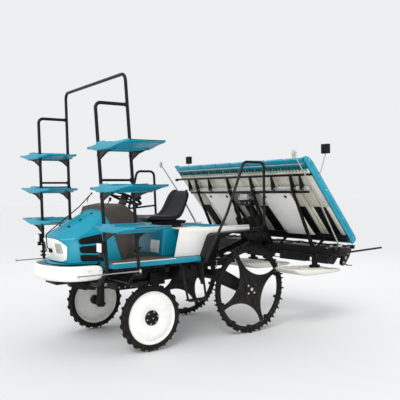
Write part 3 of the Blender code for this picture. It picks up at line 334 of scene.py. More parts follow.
def bent(points, radius, steps=6):
    """A path with its inner corners turned into arcs."""
    points = [Vector(p) for p in points]
    path = [points[0]]
    for before, corner, after in zip(points, points[1:], points[2:]):
        back, ahead = (before - corner).normalized(), (after - corner).normalized()
        half = back.angle(ahead) / 2
        if radius <= 0 or half > math.radians(88):
            path.append(corner)
            continue
        reach = min(
            radius / math.tan(half), (before - corner).length / 2, (after - corner).length / 2
        )
        r = reach * math.tan(half)
        centre = corner + (back + ahead).normalized() * r / math.sin(half)
        start = (corner + back * reach - centre).normalized()
        end = (corner + ahead * reach - centre).normalized()
        path += [centre + start.slerp(end, i / steps) * r for i in range(steps + 1)]
    return path + [points[-1]]


def add_tube(bm, points, radius, bend=0.0, sides=14, closed=False, capped=True):
    """A round bar swept along a path, into a bmesh."""
    path = bent(points, bend) if bend else [Vector(p) for p in points]
    count = len(path)
    rings, normal = [], None
    for i, place in enumerate(path):
        ahead = path[(i + 1) % count] if (closed or i + 1 < count) else None
        behind = path[i - 1] if (closed or i > 0) else None
        tangent = ((ahead or place) - (behind or place)).normalized()
        if normal is None:
            normal = tangent.orthogonal().normalized()
        normal = (normal - tangent * normal.dot(tangent)).normalized()
        other = tangent.cross(normal)
        rings.append([
            bm.verts.new(place + (normal * math.cos(a) + other * math.sin(a)) * radius)
            for a in (2 * math.pi * k / sides for k in range(sides))
        ])
    pairs = list(zip(rings, rings[1:])) + ([(rings[-1], rings[0])] if closed else [])
    for one, two in pairs:
        for k in range(sides):
            j = (k + 1) % sides
            bm.faces.new((one[k], one[j], two[j], two[k]))
    if capped and not closed:
        bm.faces.new(list(reversed(rings[0])))
        bm.faces.new(rings[-1])


def add_box(bm, low, high, turn=None, centre=None):
    """A block between two corners, into a bmesh."""
    low, high = Vector(low), Vector(high)
    size = Matrix.Diagonal((*(high - low), 1))
    place = Matrix.Translation((low + high) / 2) @ size
    if turn is not None:
        about = Matrix.Translation(centre)
        place = about @ turn.to_4x4() @ about.inverted() @ place
    return bmesh.ops.create_cube(bm, size=1, matrix=place)["verts"]


def add_rod(bm, start, end, radius, end_radius=None, sides=20):
    """A round bar or cone, into a bmesh."""
    start, end = Vector(start), Vector(end)
    along = end - start
    turn = along.to_track_quat("Z", "Y").to_matrix().to_4x4()
    return bmesh.ops.create_cone(
        bm, cap_ends=True, segments=sides, radius1=radius,
        radius2=radius if end_radius is None else end_radius, depth=along.length,
        matrix=Matrix.Translation((start + end) / 2) @ turn,
    )["verts"]


def add_bolt(bm, place, axis, radius=0.007, height=0.006):
    """A washer with a hexagon head on it."""
    place, axis = Vector(place), Vector(axis).normalized()
    add_rod(bm, place - axis * 0.001, place + axis * 0.0015, radius * 1.5, sides=16)
    add_rod(bm, place, place + axis * height, radius, sides=6)


def add_prism(bm, outline, shift):
    """A flat outline of points carried along a shift."""
    shift = Vector(shift)
    near = [bm.verts.new(Vector(p)) for p in outline]
    far = [bm.verts.new(Vector(p) + shift) for p in outline]
    bm.faces.new(near)
    bm.faces.new(list(reversed(far)))
    for i in range(len(near)):
        j = (i + 1) % len(near)
        bm.faces.new((near[j], near[i], far[i], far[j]))


def side_prism(bm, outline, x, thick):
    """A flat outline of (station, z) points at x, thickened along the X axis."""
    add_prism(bm, [P(x, s, z) for s, z in outline], (thick, 0, 0))


def add_lathe(bm, profile, centre, axis, sides=48, start=None):
    """A (height along the axis, radius) profile turned about an axis."""
    axis = Vector(axis).normalized()
    across = Vector(start).normalized() if start else axis.orthogonal().normalized()
    other = axis.cross(across)
    rings = []
    for height, radius in profile:
        middle = Vector(centre) + axis * height
        if radius < 1e-6:
            rings.append([bm.verts.new(middle)])
            continue
        rings.append([
            bm.verts.new(middle + (across * math.cos(a) + other * math.sin(a)) * radius)
            for a in (2 * math.pi * k / sides for k in range(sides))
        ])
    for one, two in zip(rings, rings[1:]):
        for k in range(sides):
            j = (k + 1) % sides
            corners = [one[k % len(one)], one[j % len(one)], two[j % len(two)], two[k % len(two)]]
            unique = list(dict.fromkeys(corners))
            if len(unique) > 2:
                bm.faces.new(unique)


def both_sides(build):
    """Build once for the left and once, mirrored, for the right."""
    for side_name, side in SIDES:
        build(side_name, side)


def mirrored(bm, side):
    """The bmesh as built for the left, or turned into its mirror image for the right."""
    if side < 0:
        bmesh.ops.transform(bm, matrix=Matrix.Diagonal((-1, 1, 1, 1)), verts=bm.verts)
    return bm


def around(x, radius, angle):
    """A step of x along the X axis and of radius away from it."""
    return Vector((x, radius * math.sin(angle), radius * math.cos(angle)))


def add_skin(bm, rows):
    """Faces between rows of vertices that each close on themselves, and a cap at both ends."""
    for one, two in zip(rows, rows[1:]):
        for k in range(len(one)):
            j = (k + 1) % len(one)
            bm.faces.new((one[k], one[j], two[j], two[k]))
    bm.faces.new(rows[0])
    bm.faces.new(list(reversed(rows[-1])))


# ---------------------------------------------------------------- wheels


def front_wheel(side_name, side):
    """Bar tread and sidewall rings on the tyre, dished rim face, black bolted hub."""
    low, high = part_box(f"front_tyre_{side_name}")
    centre, half, outer = (low + high) / 2, (high.x - low.x) / 2, (high.z - low.z) / 2
    body = f"front_wheel_{side_name}"
    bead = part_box(f"front_rim_{side_name}")
    rim_r = (bead[1].z - bead[0].z) / 2
    bm = bmesh.new()
    groove = outer - 0.020
    profile = [
        (-half * 0.70, rim_r), (-half * 0.86, rim_r + 0.004), (-half * 0.92, rim_r + 0.016),
        (-half * 0.86, rim_r + 0.022), (-half * 0.97, rim_r + 0.034),
        (-half * 0.90, groove - 0.006), (-half * 0.60, groove + 0.003), (0, groove + 0.006),
        (half * 0.60, groove + 0.003), (half * 0.90, groove - 0.006), (half * 0.97, rim_r + 0.034),
        (half * 0.86, rim_r + 0.022), (half * 0.92, rim_r + 0.016), (half * 0.86, rim_r + 0.004),
        (half * 0.70, rim_r)
    ]
    add_lathe(bm, profile + profile[:1], centre, (1, 0, 0), 96)
    bars = 22
    for i in range(bars):
        for hand in (1, -1):
            mid = 2 * math.pi * (i + (0.25 if hand > 0 else 0.75)) / bars
            skew = 0.055
            outline = []
            for x, lead, top in (
                (0.004, 0.0, outer), (half * 0.62, skew * 0.8, outer - 0.001),
                (half * 0.98, skew * 1.25, outer - 0.020), (half, skew * 1.35, outer - 0.040),
            ):
                outline.append((hand * x, mid + lead, top))
            wide = 0.034
            rows = []
            for x, a, top in outline:
                spread = wide if top > outer - 0.03 else wide * 0.7
                rows.append([
                    bm.verts.new(centre + around(x, r, a + da))
                    for r, da in (
                        (groove - 0.022, -spread), (top, -spread * 0.62), (top, spread * 0.62),
                        (groove - 0.022, spread)
                    )
                ])
            add_skin(bm, rows)
    tyre = piece(f"front_tread_{side_name}", bm, rubber, body, smooth=35)
    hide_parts(f"front_tyre_{side_name}")

    bm = bmesh.new()
    profile = [
        (side * 0.034, rim_r), (side * 0.036, rim_r - 0.006), (side * 0.030, rim_r - 0.012),
        (side * 0.024, rim_r - 0.022), (side * 0.024, rim_r - 0.034), (side * 0.034, rim_r * 0.80),
        (side * 0.037, rim_r * 0.60), (side * 0.030, rim_r * 0.40), (side * 0.022, 0.085),
        (side * 0.020, 0.04), (side * 0.020, 0.0),
    ]
    back = [
        (side * 0.012, 0.0), (side * 0.012, 0.085), (side * 0.022, rim_r * 0.40),
        (side * 0.028, rim_r * 0.60), (side * 0.026, rim_r * 0.80), (side * 0.014, rim_r - 0.034),
        (-side * 0.02, rim_r - 0.018), (-side * 0.030, rim_r - 0.012),
        (-side * 0.036, rim_r - 0.006), (-side * 0.034, rim_r)
    ]
    add_lathe(bm, profile + back, centre, (1, 0, 0), 96)
    bmesh.ops.remove_doubles(bm, verts=bm.verts, dist=1e-6)
    rim = piece(f"front_disc_{side_name}", bm, cream_rim, body, smooth=30)
    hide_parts(f"front_rim_{side_name}")

    bm = bmesh.new()
    out = Vector((side, 0, 0))
    add_lathe(bm, [
        (0.018, 0.0), (0.018, 0.074), (0.028, 0.074), (0.034, 0.068), (0.036, 0.050),
        (0.046, 0.044), (0.050, 0.032), (0.050, 0.016), (0.046, 0.012), (0.046, 0.0)
    ], centre, out, 40)
    add_lathe(bm, [(0.006, 0.0), (0.006, 0.055), (-0.055, 0.05), (-0.055, 0.0)], centre, out, 32)
    piece(f"front_hub_{side_name}", bm, black, body, smooth=30)
    bm = bmesh.new()
    for i in range(6):
        a = 2 * math.pi * i / 6 + 0.3
        add_bolt(bm, centre + around(side * 0.033, 0.057, a), out, 0.0065, 0.007)
    add_rod(bm, centre + out * 0.046, centre + out * 0.054, 0.010, 0.006, 6)
    spot = centre + around(side * 0.026, rim_r - 0.028, 1.1)
    add_rod(bm, spot, spot + out * 0.026, 0.0035, 0.0028, 10)
    piece(f"front_nuts_{side_name}", bm, zinc, body, smooth=30)


def rear_wheel(side_name, side):
    """Thin ring with rubber lugs, spade plates and the dished star behind them."""
    low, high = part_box(f"rear_wheel_{side_name}")
    body = f"rear_wheel_{side_name}"
    outer = (high.z - low.z) / 2
    centre = Vector((side * 0.625, (low.y + high.y) / 2, (low.z + high.z) / 2))
    inner = outer - 0.070
    bm = bmesh.new()
    half = 0.028
    profile = [
        (-half, inner + 0.010), (-half, outer - 0.028), (-half * 0.6, outer - 0.020),
        (half * 0.6, outer - 0.020), (half, outer - 0.028), (half, inner + 0.010),
        (half * 0.6, inner), (-half * 0.6, inner)
    ]
    add_lathe(bm, profile + profile[:1], centre, (1, 0, 0), 96)
    lugs = 50
    for i in range(lugs):
        a = 2 * math.pi * i / lugs
        hand = 1 if i % 2 else -1
        big = i % 5 == 0
        reach, base = outer, outer - (0.080 if big else 0.048)
        x0, x1 = (-0.040, 0.040) if big else sorted((hand * -0.012, hand * 0.034))
        wide, lean = (0.024, 0.036) if big else (0.021, 0.012)
        rows = []
        for x, drop in ((x0, 0.006), (x1, 0.0)):
            rows.append([
                bm.verts.new(centre + around(x, r, a + t))
                for r, t in (
                    (base, -wide * 1.6), (reach - drop - 0.004, lean - wide * 0.7),
                    (reach - drop, lean + wide * 0.2), (base, wide * 1.6),
                )
            ])
        add_skin(bm, rows)
    ring = piece(f"rear_ring_{side_name}", bm, rubber, body, smooth=35)
    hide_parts(body)

    bm = bmesh.new()
    arms, steps, waist = 4, 20, 0.172
    reach = inner + 0.012
    pitch = 2 * math.pi / arms
    edge = pitch / 2 - math.radians(4)
    away = (reach**2 - waist**2) / (2 * (reach * math.cos(edge) - waist))
    bow = away - waist
    swing = math.atan2(reach * math.sin(edge), away - reach * math.cos(edge))
    lean = math.radians(-25)
    outline = []
    for arm in range(arms):
        toward = lean + (arm + 0.5) * pitch
        for i in range(steps + 1):
            turn = toward + math.pi + swing - 2 * swing * i / steps
            a = away * math.sin(toward) + bow * math.sin(turn)
            b = away * math.cos(toward) + bow * math.cos(turn)
            outline.append((math.hypot(a, b), math.atan2(a, b)))
    near, far = [], []
    for r, a in outline:
        dish = 0.018 * (1 - r / reach)
        spot = around(0, r, a)
        near.append(bm.verts.new(centre + spot + Vector((side * (0.006 + dish), 0, 0))))
        far.append(bm.verts.new(centre + spot + Vector((side * (-0.004 + dish), 0, 0))))
    mid_near = bm.verts.new(centre + Vector((side * 0.026, 0, 0)))
    mid_far = bm.verts.new(centre + Vector((side * 0.014, 0, 0)))
    count = len(near)
    for i in range(count):
        j = (i + 1) % count
        bm.faces.new((near[i], near[j], mid_near))
        bm.faces.new((far[j], far[i], mid_far))
        bm.faces.new((near[j], near[i], far[i], far[j]))
    out = Vector((side, 0, 0))
    for arm in range(arms):
        a = lean + arm * pitch
        across = Vector((0, math.cos(a), -math.sin(a)))
        along = Vector((0, math.sin(a), math.cos(a)))
        for hand in (1, -1):
            foot = centre + along * 0.09 + across * hand * 0.030
            end = centre + along * (reach - 0.03) + across * hand * 0.010
            add_tube(bm, [
                foot + out * 0.024, foot.lerp(end, 0.5) + out * 0.016, end + out * 0.008
            ], 0.0045, sides=8)
    piece(f"rear_star_{side_name}", bm, black_low, body, smooth=30)

    bm = bmesh.new()
    add_lathe(bm, [
        (-0.044, 0.0), (-0.044, 0.050), (0.0, 0.056), (0.022, 0.078), (0.028, 0.078),
        (0.032, 0.070), (0.032, 0.030), (0.038, 0.026), (0.038, 0.0)
    ], centre, out, 40)
    piece(f"rear_hub_{side_name}", bm, black, body, smooth=30)
    bm = bmesh.new()
    for i in range(5):
        a = pitch * (i + 0.5)
        add_bolt(bm, centre + around(side * 0.031, 0.058, a), out, 0.007, 0.008)
    for i in range(arms):
        for hand in (1, -1):
            a = lean + pitch * i + hand * 0.045
            add_bolt(bm, centre + around(side * 0.008, inner + 0.002, a), out, 0.005, 0.005)
    add_bolt(bm, centre + out * 0.038, out, 0.012, 0.008)
    piece(f"rear_bolts_{side_name}", bm, zinc, body, smooth=30)


both_sides(front_wheel)
both_sides(rear_wheel)


# ---------------------------------------------------------------- rack, rails and poles

POST_X, LEAN, INWARD = 0.773, -0.040, 0.045
FRONT_POST, REAR_POST = -0.54, -0.216
RAIL_UNDER = 0.70 - 0.0003
TUBE = 0.016
SHELF_Z = (1.226, 1.579, 1.952)


def post(x_offset, station, z, side=1):
    """Point on a rack post, which leans forward and inward as it rises."""
    rise = z - 1
    spot = P(POST_X + x_offset - INWARD * rise, station + LEAN * rise, z)
    return Vector((side * spot.x, spot.y, spot.z))


def flipped(points):
    """The same path on the other side, run the other way."""
    return [Vector((-p.x, p.y, p.z)) for p in reversed(points)]


def add_gussets(bm, station):
    """Pressed triangular plates with a folded lip under each shelf."""
    for level in SHELF_Z:
        foot = post(0, station, level)
        top = level - 0.0175
        for side in (1, -1):
            def spot(dx, z, dy):
                return Vector((side * (foot.x + dx), foot.y + dy, z))
            outline = [
                spot(0.012, top, -0.002), spot(0.33, top, -0.002), spot(0.33, top - 0.008, -0.002),
                spot(0.15, top - 0.040, -0.002), spot(0.012, top - 0.095, -0.002),
            ]
            add_prism(bm, outline, (0, 0.004, 0))
            lip = [
                spot(0.012, top - 0.095, -0.011), spot(0.15, top - 0.040, -0.011),
                spot(0.33, top - 0.008, -0.011), spot(0.33, top - 0.012, -0.011),
                spot(0.15, top - 0.044, -0.011), spot(0.012, top - 0.100, -0.011)
            ]
            add_prism(bm, lip, (0, 0.022, 0))
            near, far = (0.0, 0.20) if side > 0 else (0.20, 0.0)
            add_box(bm, spot(near, top - 0.004, -0.012), spot(far, top, 0.012))
            for drop in (0.022, 0.075):
                collar = post(0, station, level - drop, side)
                up = (post(0, station, level, side) - collar).normalized()
                add_rod(bm, collar - up * 0.007, collar + up * 0.007, TUBE + 0.0035, sides=18)


def add_saddles(bm, station):
    """Saddles and U-bolts that hold a cross tube under the frame rails."""
    foot = RAIL_UNDER - TUBE
    for x in (-0.20, 0.20):
        add_box(bm, P(x - 0.02, station - 0.012, foot), P(x + 0.02, station + 0.012, RAIL_UNDER))
        for side in (1, -1):
            add_tube(bm, [
                P(x + side * 0.03, station - 0.02, foot + 0.005),
                P(x + side * 0.03, station - 0.014, foot - 0.014),
                P(x + side * 0.03, station + 0.014, foot - 0.014),
                P(x + side * 0.03, station + 0.02, foot + 0.005)
            ], 0.004, 0.006, sides=8)


def rack():
    """Both hoops of the seedling rack with their fittings, and the work lamps."""
    foot = RAIL_UNDER - TUBE

    def upright(station, top):
        """One side of a hoop, from under the frame rail to its top."""
        return [P(0.60, station, foot), post(0, station, 0.83), post(0, station, top)]

    bm = bmesh.new()
    left = upright(REAR_POST, 2.646)
    add_tube(bm, left + flipped(left), TUBE, 0.07, sides=20)
    add_tube(bm, [P(-0.61, REAR_POST, foot), P(0.61, REAR_POST, foot)], TUBE, sides=20)
    add_saddles(bm, REAR_POST)
    add_gussets(bm, REAR_POST)
    for side in (1, -1):
        x0, x1 = sorted((side * 0.762, side * 0.838))
        add_box(bm, P(x0, REAR_POST - 0.014, 0.782), P(x1, REAR_POST + 0.014, 0.8007))
        add_box(bm, P(x0, REAR_POST - 0.022, 0.770), P(x0 + 0.05, REAR_POST + 0.022, 0.812))
    hoop = piece("rack_hoop_tube", bm, black, smooth=40)
    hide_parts("rack_rear_hoop")

    bm = bmesh.new()
    for side in (1, -1):
        path = upright(FRONT_POST, 2.354)
        path.append(post(0, REAR_POST, 2.354) - Vector((0, TUBE + 0.001, 0)))
        rung = [
            post(0, FRONT_POST, 1.654), post(0, REAR_POST, 1.654) - Vector((0, TUBE + 0.001, 0))
        ]
        if side < 0:
            path, rung = flipped(path), flipped(rung)
        add_tube(bm, path, TUBE, 0.05, sides=20)
        add_tube(bm, rung, TUBE * 0.7, sides=16)
        for z in (2.354, 1.654):
            end = post(0, REAR_POST, z, side) - Vector((0, TUBE + 0.001, 0))
            add_box(bm, end - Vector((0.013, 0.005, 0.020)), end + Vector((0.013, 0.0, 0.020)))
    add_tube(bm, [P(-0.61, FRONT_POST, foot), P(0.61, FRONT_POST, foot)], TUBE, sides=20)
    add_saddles(bm, FRONT_POST)
    add_gussets(bm, FRONT_POST)
    for side in (1, -1):
        back = post(0, FRONT_POST, 1.05, side)
        front = back.y - TUBE + 0.003
        add_box(bm, (back.x - 0.012, front - 0.048, 0.968), (back.x + 0.012, front - 0.012, 1.01))
        for z in (0.975, 1.000):
            add_rod(
                bm, (back.x, back.y, z - 0.006), (back.x, back.y, z + 0.006), TUBE + 0.004, sides=18
            )
        for z in (0.90, 0.86):
            add_box(
                bm, P(back.x - 0.014, FRONT_POST - 0.030, z - 0.010),
                P(back.x + 0.014, FRONT_POST + 0.024, z + 0.010)
            )
    front_frame = piece("rack_front_tube", bm, black, smooth=40)
    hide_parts("rack_front_frame")

    for side_name, side in SIDES:
        back = post(0, FRONT_POST, 1.05, side)
        front = back.y - TUBE + 0.003
        bm = bmesh.new()
        add_box(bm, (back.x - 0.042, front - 0.034, 1.005), (back.x + 0.042, front, 1.095))
        add_box(bm, (back.x - 0.038, front - 0.040, 1.009), (back.x + 0.038, front - 0.030, 1.091))
        eased(piece(f"work_lamp_case_{side_name}", bm, soft_black), 0.006, 3)
        bm = bmesh.new()
        add_box(bm, (back.x - 0.037, front - 0.058, 1.010), (back.x + 0.037, front - 0.040, 1.090))
        eased(piece(f"work_lamp_lens_{side_name}", bm, clear), 0.006, 3)
        bm = bmesh.new()
        for i in range(9):
            z = 1.016 + i * 0.0085
            add_box(
                bm, (back.x - 0.031, front - 0.0595, z - 0.0012),
                (back.x + 0.031, front - 0.0575, z + 0.0012)
            )
        for i in range(7):
            x = back.x - 0.028 + i * 0.0093
            add_box(bm, (x - 0.0008, front - 0.0592, 1.016), (x + 0.0008, front - 0.0578, 1.084))
        piece(f"work_lamp_ribs_{side_name}", bm, plate)


def shelves():
    """Moulded seedling shelves: stub, raised crown beside the posts, ribs, upturned tip."""
    names = ("low", "middle", "top")
    for level, name in zip(SHELF_Z, names):
        for side_name, side in SIDES:
            node_name = f"shelf_{name}_{side_name}"
            base = post(0, (FRONT_POST + REAR_POST) / 2, level)
            half = 0.208
            sections = [
                (-0.235, -0.002, 0.014, 0.78), (-0.215, -0.010, 0.014, 0.83),
                (-0.060, -0.020, 0.014, 0.88), (-0.040, -0.030, 0.016, 0.97),
                (0.035, -0.034, 0.018, 1.0), (0.060, -0.034, 0.040, 1.0),
                (0.20, -0.034, 0.042, 1.0), (0.235, -0.033, 0.022, 1.0),
                (0.33, -0.028, 0.022, 0.99), (0.40, -0.014, 0.022, 0.97),
                (0.47, -0.002, 0.024, 0.95), (0.55, 0.006, 0.028, 0.93),
                (0.590, 0.012, 0.030, 0.88), (0.598, 0.018, 0.028, 0.84)
            ]
            bm = bmesh.new()
            rows = []
            for dx, low, high, wide in sections:
                edge = half * wide
                lip = 0.012
                ring = [
                    (-edge, low + 0.003), (-edge, high - 0.004), (-edge + 0.004, high),
                    (-edge + lip, high), (-edge + lip + 0.006, high - 0.007),
                    (edge - lip - 0.006, high - 0.007), (edge - lip, high), (edge - 0.004, high),
                    (edge, high - 0.004), (edge, low + 0.003), (edge - 0.006, low),
                    (-edge + 0.006, low)
                ]
                rows.append([
                    bm.verts.new((side * (base.x + dx), base.y + y, level + z)) for y, z in ring
                ])
            add_skin(bm, rows)
            for dx in (0.26, 0.31, 0.36, 0.41, 0.46, 0.51):
                t = (dx - 0.235) / 0.315
                z = level + 0.015 + 0.006 * t
                x0, x1 = sorted((side * (base.x + dx - 0.004), side * (base.x + dx + 0.004)))
                add_box(
                    bm, (x0, base.y - half * 0.86, z - 0.008), (x1, base.y + half * 0.86, z + 0.003)
                )
            for dy in (-0.07, 0.07):
                x0, x1 = sorted((side * (base.x + 0.24), side * (base.x + 0.56)))
                add_box(
                    bm, (x0, base.y + dy - 0.003, level + 0.004),
                    (x1, base.y + dy + 0.003, level + 0.016)
                )
            for dx in (-0.13, -0.09, 0.10, 0.15, 0.20):
                x0, x1 = sorted((side * (base.x + dx - 0.003), side * (base.x + dx + 0.003)))
                top = 0.0105 if dx < 0 else 0.0375
                add_box(bm, (
                    x0, base.y - half * 0.75, level + top - 0.006
                ), (x1, base.y + half * 0.75, level + top))
            for dx in (0.03, 0.12, 0.21, 0.30):
                x0, x1 = sorted((side * (base.x + dx - 0.003), side * (base.x + dx + 0.003)))
                add_box(
                    bm, (x0, base.y - half * 0.93, level - 0.040),
                    (x1, base.y + half * 0.93, level - 0.028)
                )
            made = piece(node_name + "_mould", bm, teal, smooth=30)
            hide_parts(node_name)
            eased(made, 0.002, 2, 35)


def rails_and_steps():
    """Grab rails with their bolted feet, and the boarding steps with ribbed treads."""
    x, under = 0.69, 0.865 - 0.05 - 0.0003 - 0.014
    for side_name, side in SIDES:
        bm = bmesh.new()
        if side > 0:
            path = [
                (0.51, 0.60, under), (x, 0.60, under), (x, 0.90, 1.31), (x, 1.13, 1.85),
                (x, 1.41, 1.85), (x, 1.41, 1.13), (0.56, 1.41, 1.13)
            ]
        else:
            path = [
                (0.51, 0.335, under), (x, 0.335, under), (x, 0.475, 1.30), (x, 0.606, 1.79),
                (x, 0.84, 1.79), (x, 0.865, 1.1164), (0.56, 0.865, 1.1164)
            ]
            add_rod(bm, P(x, 0.488, 1.345), P(x, 0.855, 1.375), 0.011, sides=18)
        end = path[-1]
        add_tube(bm, [P(*p) for p in path], 0.0145, 0.06, sides=18)
        add_box(
            bm, P(0.545, end[1] - 0.025, end[2] - 0.0145), P(0.605, end[1] + 0.018, end[2] - 0.008)
        )
        made = piece(f"handrail_tube_{side_name}", mirrored(bm, side), black)
        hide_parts(f"handrail_{side_name}")

        bm = bmesh.new()
        loop = [
            P(0.53, 0.39, under), P(0.60, 0.39, under - 0.05), P(0.66, 0.42, 0.44),
            P(0.66, 0.64, 0.44), P(0.60, 0.635, under - 0.05), P(0.53, 0.635, under),
        ]
        add_tube(bm, loop, 0.012, 0.03, sides=16)
        for station in (0.39, 0.635):
            add_box(
                bm, P(0.505, station - 0.018, under + 0.002),
                P(0.552, station + 0.018, under + 0.0135)
            )
        made = piece(f"step_loop_{side_name}", mirrored(bm, side), black)
        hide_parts(f"step_{side_name}")
        bm = bmesh.new()
        add_box(bm, P(0.60, 0.425, 0.436), P(0.655, 0.635, 0.446))
        for i in range(10):
            station = 0.435 + i * 0.0212
            add_box(bm, P(0.603, station - 0.003, 0.446), P(0.652, station + 0.003, 0.451))
        piece(f"step_tread_{side_name}", mirrored(bm, side), soft_black)


def poles():
    """Sighting pole with its ribbon, and the swinging side rods."""
    base = P(0, -0.752, 0.9873)
    bm = bmesh.new()
    path = [base, P(0, -0.79, 1.01), P(0, -0.80, 1.14), P(0, -0.45, 1.40), P(0, -0.31, 1.535)]
    add_tube(bm, path, 0.0055, 0.02, sides=12)
    add_rod(bm, base - Vector((0.016, 0, 0)), base + Vector((0.016, 0, 0)), 0.0115, sides=20)
    bmesh.ops.create_uvsphere(
        bm, u_segments=14, v_segments=10, radius=0.010, matrix=Matrix.Translation(path[-1])
    )
    made = piece("sighting_pole", bm, black, "centre_marker")
    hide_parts("centre_marker")
    bm = bmesh.new()
    tip = P(0, -0.345, 1.50)
    rows = []
    for i in range(15):
        t = i / 14
        mid = tip + Vector((
            0.004 * math.sin(7 * t), -0.020 * t - 0.004 * math.sin(5 * t), -0.075 * t
        ))
        wide = Vector((0.006 * math.cos(3.0 * t), 0.006 * math.sin(3.0 * t), 0)) * (1 - 0.3 * t)
        rows.append((bm.verts.new(mid - wide), bm.verts.new(mid + wide)))
    for one, two in zip(rows, rows[1:]):
        bm.faces.new((one[0], one[1], two[1], two[0]))
    bmesh.ops.solidify(bm, geom=bm.faces[:], thickness=0.0008)
    add_tube(bm, [tip + Vector((0, 0.008 * math.cos(a), 0.008 * math.sin(a))) for a in
                  (2 * math.pi * k / 12 for k in range(12))], 0.0022, sides=8, closed=True)
    ribbon = piece("ribbon", bm, red, "centre_marker")
    for side_name, side in SIDES:
        bm = bmesh.new()
        x, z, length = 0.822, 0.815, 0.61
        hub = P(x, REAR_POST, z)
        add_rod(bm, hub - Vector((0, 0, 0.0135)), hub + Vector((0, 0, 0.0135)), 0.0135, sides=24)
        add_rod(bm, hub + Vector((0, 0, 0.0135)), hub + Vector((0, 0, 0.018)), 0.008, sides=6)
        add_tube(bm, [hub, P(x, REAR_POST - length, z)], 0.0058, sides=14)
        bmesh.ops.create_uvsphere(
            bm, u_segments=16, v_segments=12, radius=0.0125,
            matrix=Matrix.Translation(P(x, REAR_POST - length, z))
        )
        made = piece(f"side_rod_{side_name}", mirrored(bm, side), steel, f"side_marker_{side_name}")
        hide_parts(f"side_marker_{side_name}")


rack()
shelves()
rails_and_steps()
poles()


# ---------------------------------------------------------------- hood, console, floor and seat


def hull(name, points, look, width=0.012, segments=3, body="chassis", mirror=True, angle=12):
    """A convex moulding through key points, with rounded edges."""
    bm = bmesh.new()
    for point in points:
        bm.verts.new(point)
        if mirror and abs(point[0]) > 1e-6:
            bm.verts.new((-point[0], point[1], point[2]))
    bmesh.ops.convex_hull(bm, input=bm.verts)
    loose = [v for v in bm.verts if not v.link_faces]
    bmesh.ops.delete(bm, geom=loose, context="VERTS")
    bmesh.ops.dissolve_limit(bm, angle_limit=math.radians(1.5), verts=bm.verts, edges=bm.edges)
    return eased(piece(name, bm, look, body), width, segments, angle)


def hood():
    """Hood shell with its louvres, the front panel and the pole clevis."""
    shell = hull("hood_shell", [
        P(0.296, -0.12, 0.868), P(0.296, -0.575, 0.868), P(0.252, -0.680, 0.868),
        P(0.19, -0.702, 0.868), P(0.300, -0.12, 1.10), P(0.300, -0.590, 1.04),
        P(0.296, -0.13, 1.30), P(0.294, -0.26, 1.285), P(0.278, -0.625, 1.105),
        P(0.205, -0.735, 1.085), P(0.195, -0.742, 1.10), P(0.15, -0.752, 1.128),
        P(0.06, -0.757, 1.136), P(0.225, -0.13, 1.385), P(0.222, -0.24, 1.378),
        P(0.13, -0.13, 1.412), P(0.13, -0.24, 1.402), P(0.05, -0.24, 1.407)
    ], teal, 0.016, 4)
    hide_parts("hood")
    louvres = (
        (
            (-0.590, 1.092), (-0.560, 1.106), (-0.352, 1.139), (-0.333, 1.052), (-0.560, 1.044),
            (-0.585, 1.056)
        ),
        (
            (-0.584, 1.018), (-0.556, 1.027), (-0.345, 1.030), (-0.327, 0.946), (-0.552, 0.962),
            (-0.579, 0.978)
        ),
        (
            (-0.578, 0.942), (-0.548, 0.946), (-0.338, 0.928), (-0.325, 0.874), (-0.544, 0.882),
            (-0.572, 0.894)
        )
    )
    for side_name, side in SIDES:
        bm = bmesh.new()
        for outline in louvres:
            side_prism(bm, outline, 0.2955, 0.0068)
        eased(piece(f"hood_louvres_{side_name}", mirrored(bm, side), soft_black), 0.004, 2)
        bm = bmesh.new()
        for outline in louvres:
            (s0, t0), (s1, t1) = outline[1:3]
            side_prism(bm, (
                (s0 - 0.012, t0 + 0.012), (s1 + 0.010, t1 + 0.013), (s1 + 0.004, t1 + 0.001),
                (s0 - 0.004, t0 + 0.002)
            ), 0.297, 0.0075)
        eased(piece(f"hood_slats_{side_name}", mirrored(bm, side), teal), 0.0015, 2)
    bm = bmesh.new()
    for share in (0.18, 0.42, 0.66):
        s = -0.70 + share * 0.50
        z = 1.150 + (1.398 - 1.150) * (s + 0.735) / 0.495
        for side in (1, -1):
            along = Vector((0, 0.495, 0.262)).normalized()
            centre = P(side * 0.115, s, z)
            across = Vector((1, 0, 0))
            outline = [
                centre + across * 0.018 * math.cos(a) + along * 0.011 * math.sin(a)
                for a in (2 * math.pi * k / 20 for k in range(20))
            ]
            add_prism(bm, outline, (0, -0.004, 0.006))
    piece("hood_vents", bm, soft_black)
    panel = hull("nose_panel", [
        P(0.195, -0.713, 0.880), P(0.252, -0.692, 0.900), P(0.262, -0.690, 1.030),
        P(0.222, -0.742, 1.074), P(0.190, -0.756, 1.094), P(0.10, -0.764, 1.104),
        P(0.09, -0.724, 0.878), P(0.12, -0.759, 1.03), P(0.12, -0.737, 0.95)
    ], cream, 0.006, 3)
    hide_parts("front_panel")
    bm = bmesh.new()
    for i in range(7):
        x = 0.132 + i * 0.0145
        for side in (1, -1):
            line = []
            for z in (0.962, 0.985, 1.01, 1.035, 1.058):
                hit, spot, _, _ = panel.ray_cast(P(side * x, -1.1, z), Vector((0, 1, 0)))
                if hit:
                    line.append(spot + Vector((0, -0.0008, 0)))
            if len(line) > 1:
                add_tube(bm, line, 0.0026, sides=8)
    piece("nose_ribs", bm, dash)
    bm = bmesh.new()
    add_box(bm, P(-0.02, -0.764, 0.961), P(0.02, -0.735, 0.9748))
    for side in (1, -1):
        add_box(bm, P(side * 0.022 - 0.003, -0.766, 0.961), P(side * 0.022 + 0.003, -0.738, 0.998))
    eased(piece("pole_clevis", bm, black), 0.001, 1)


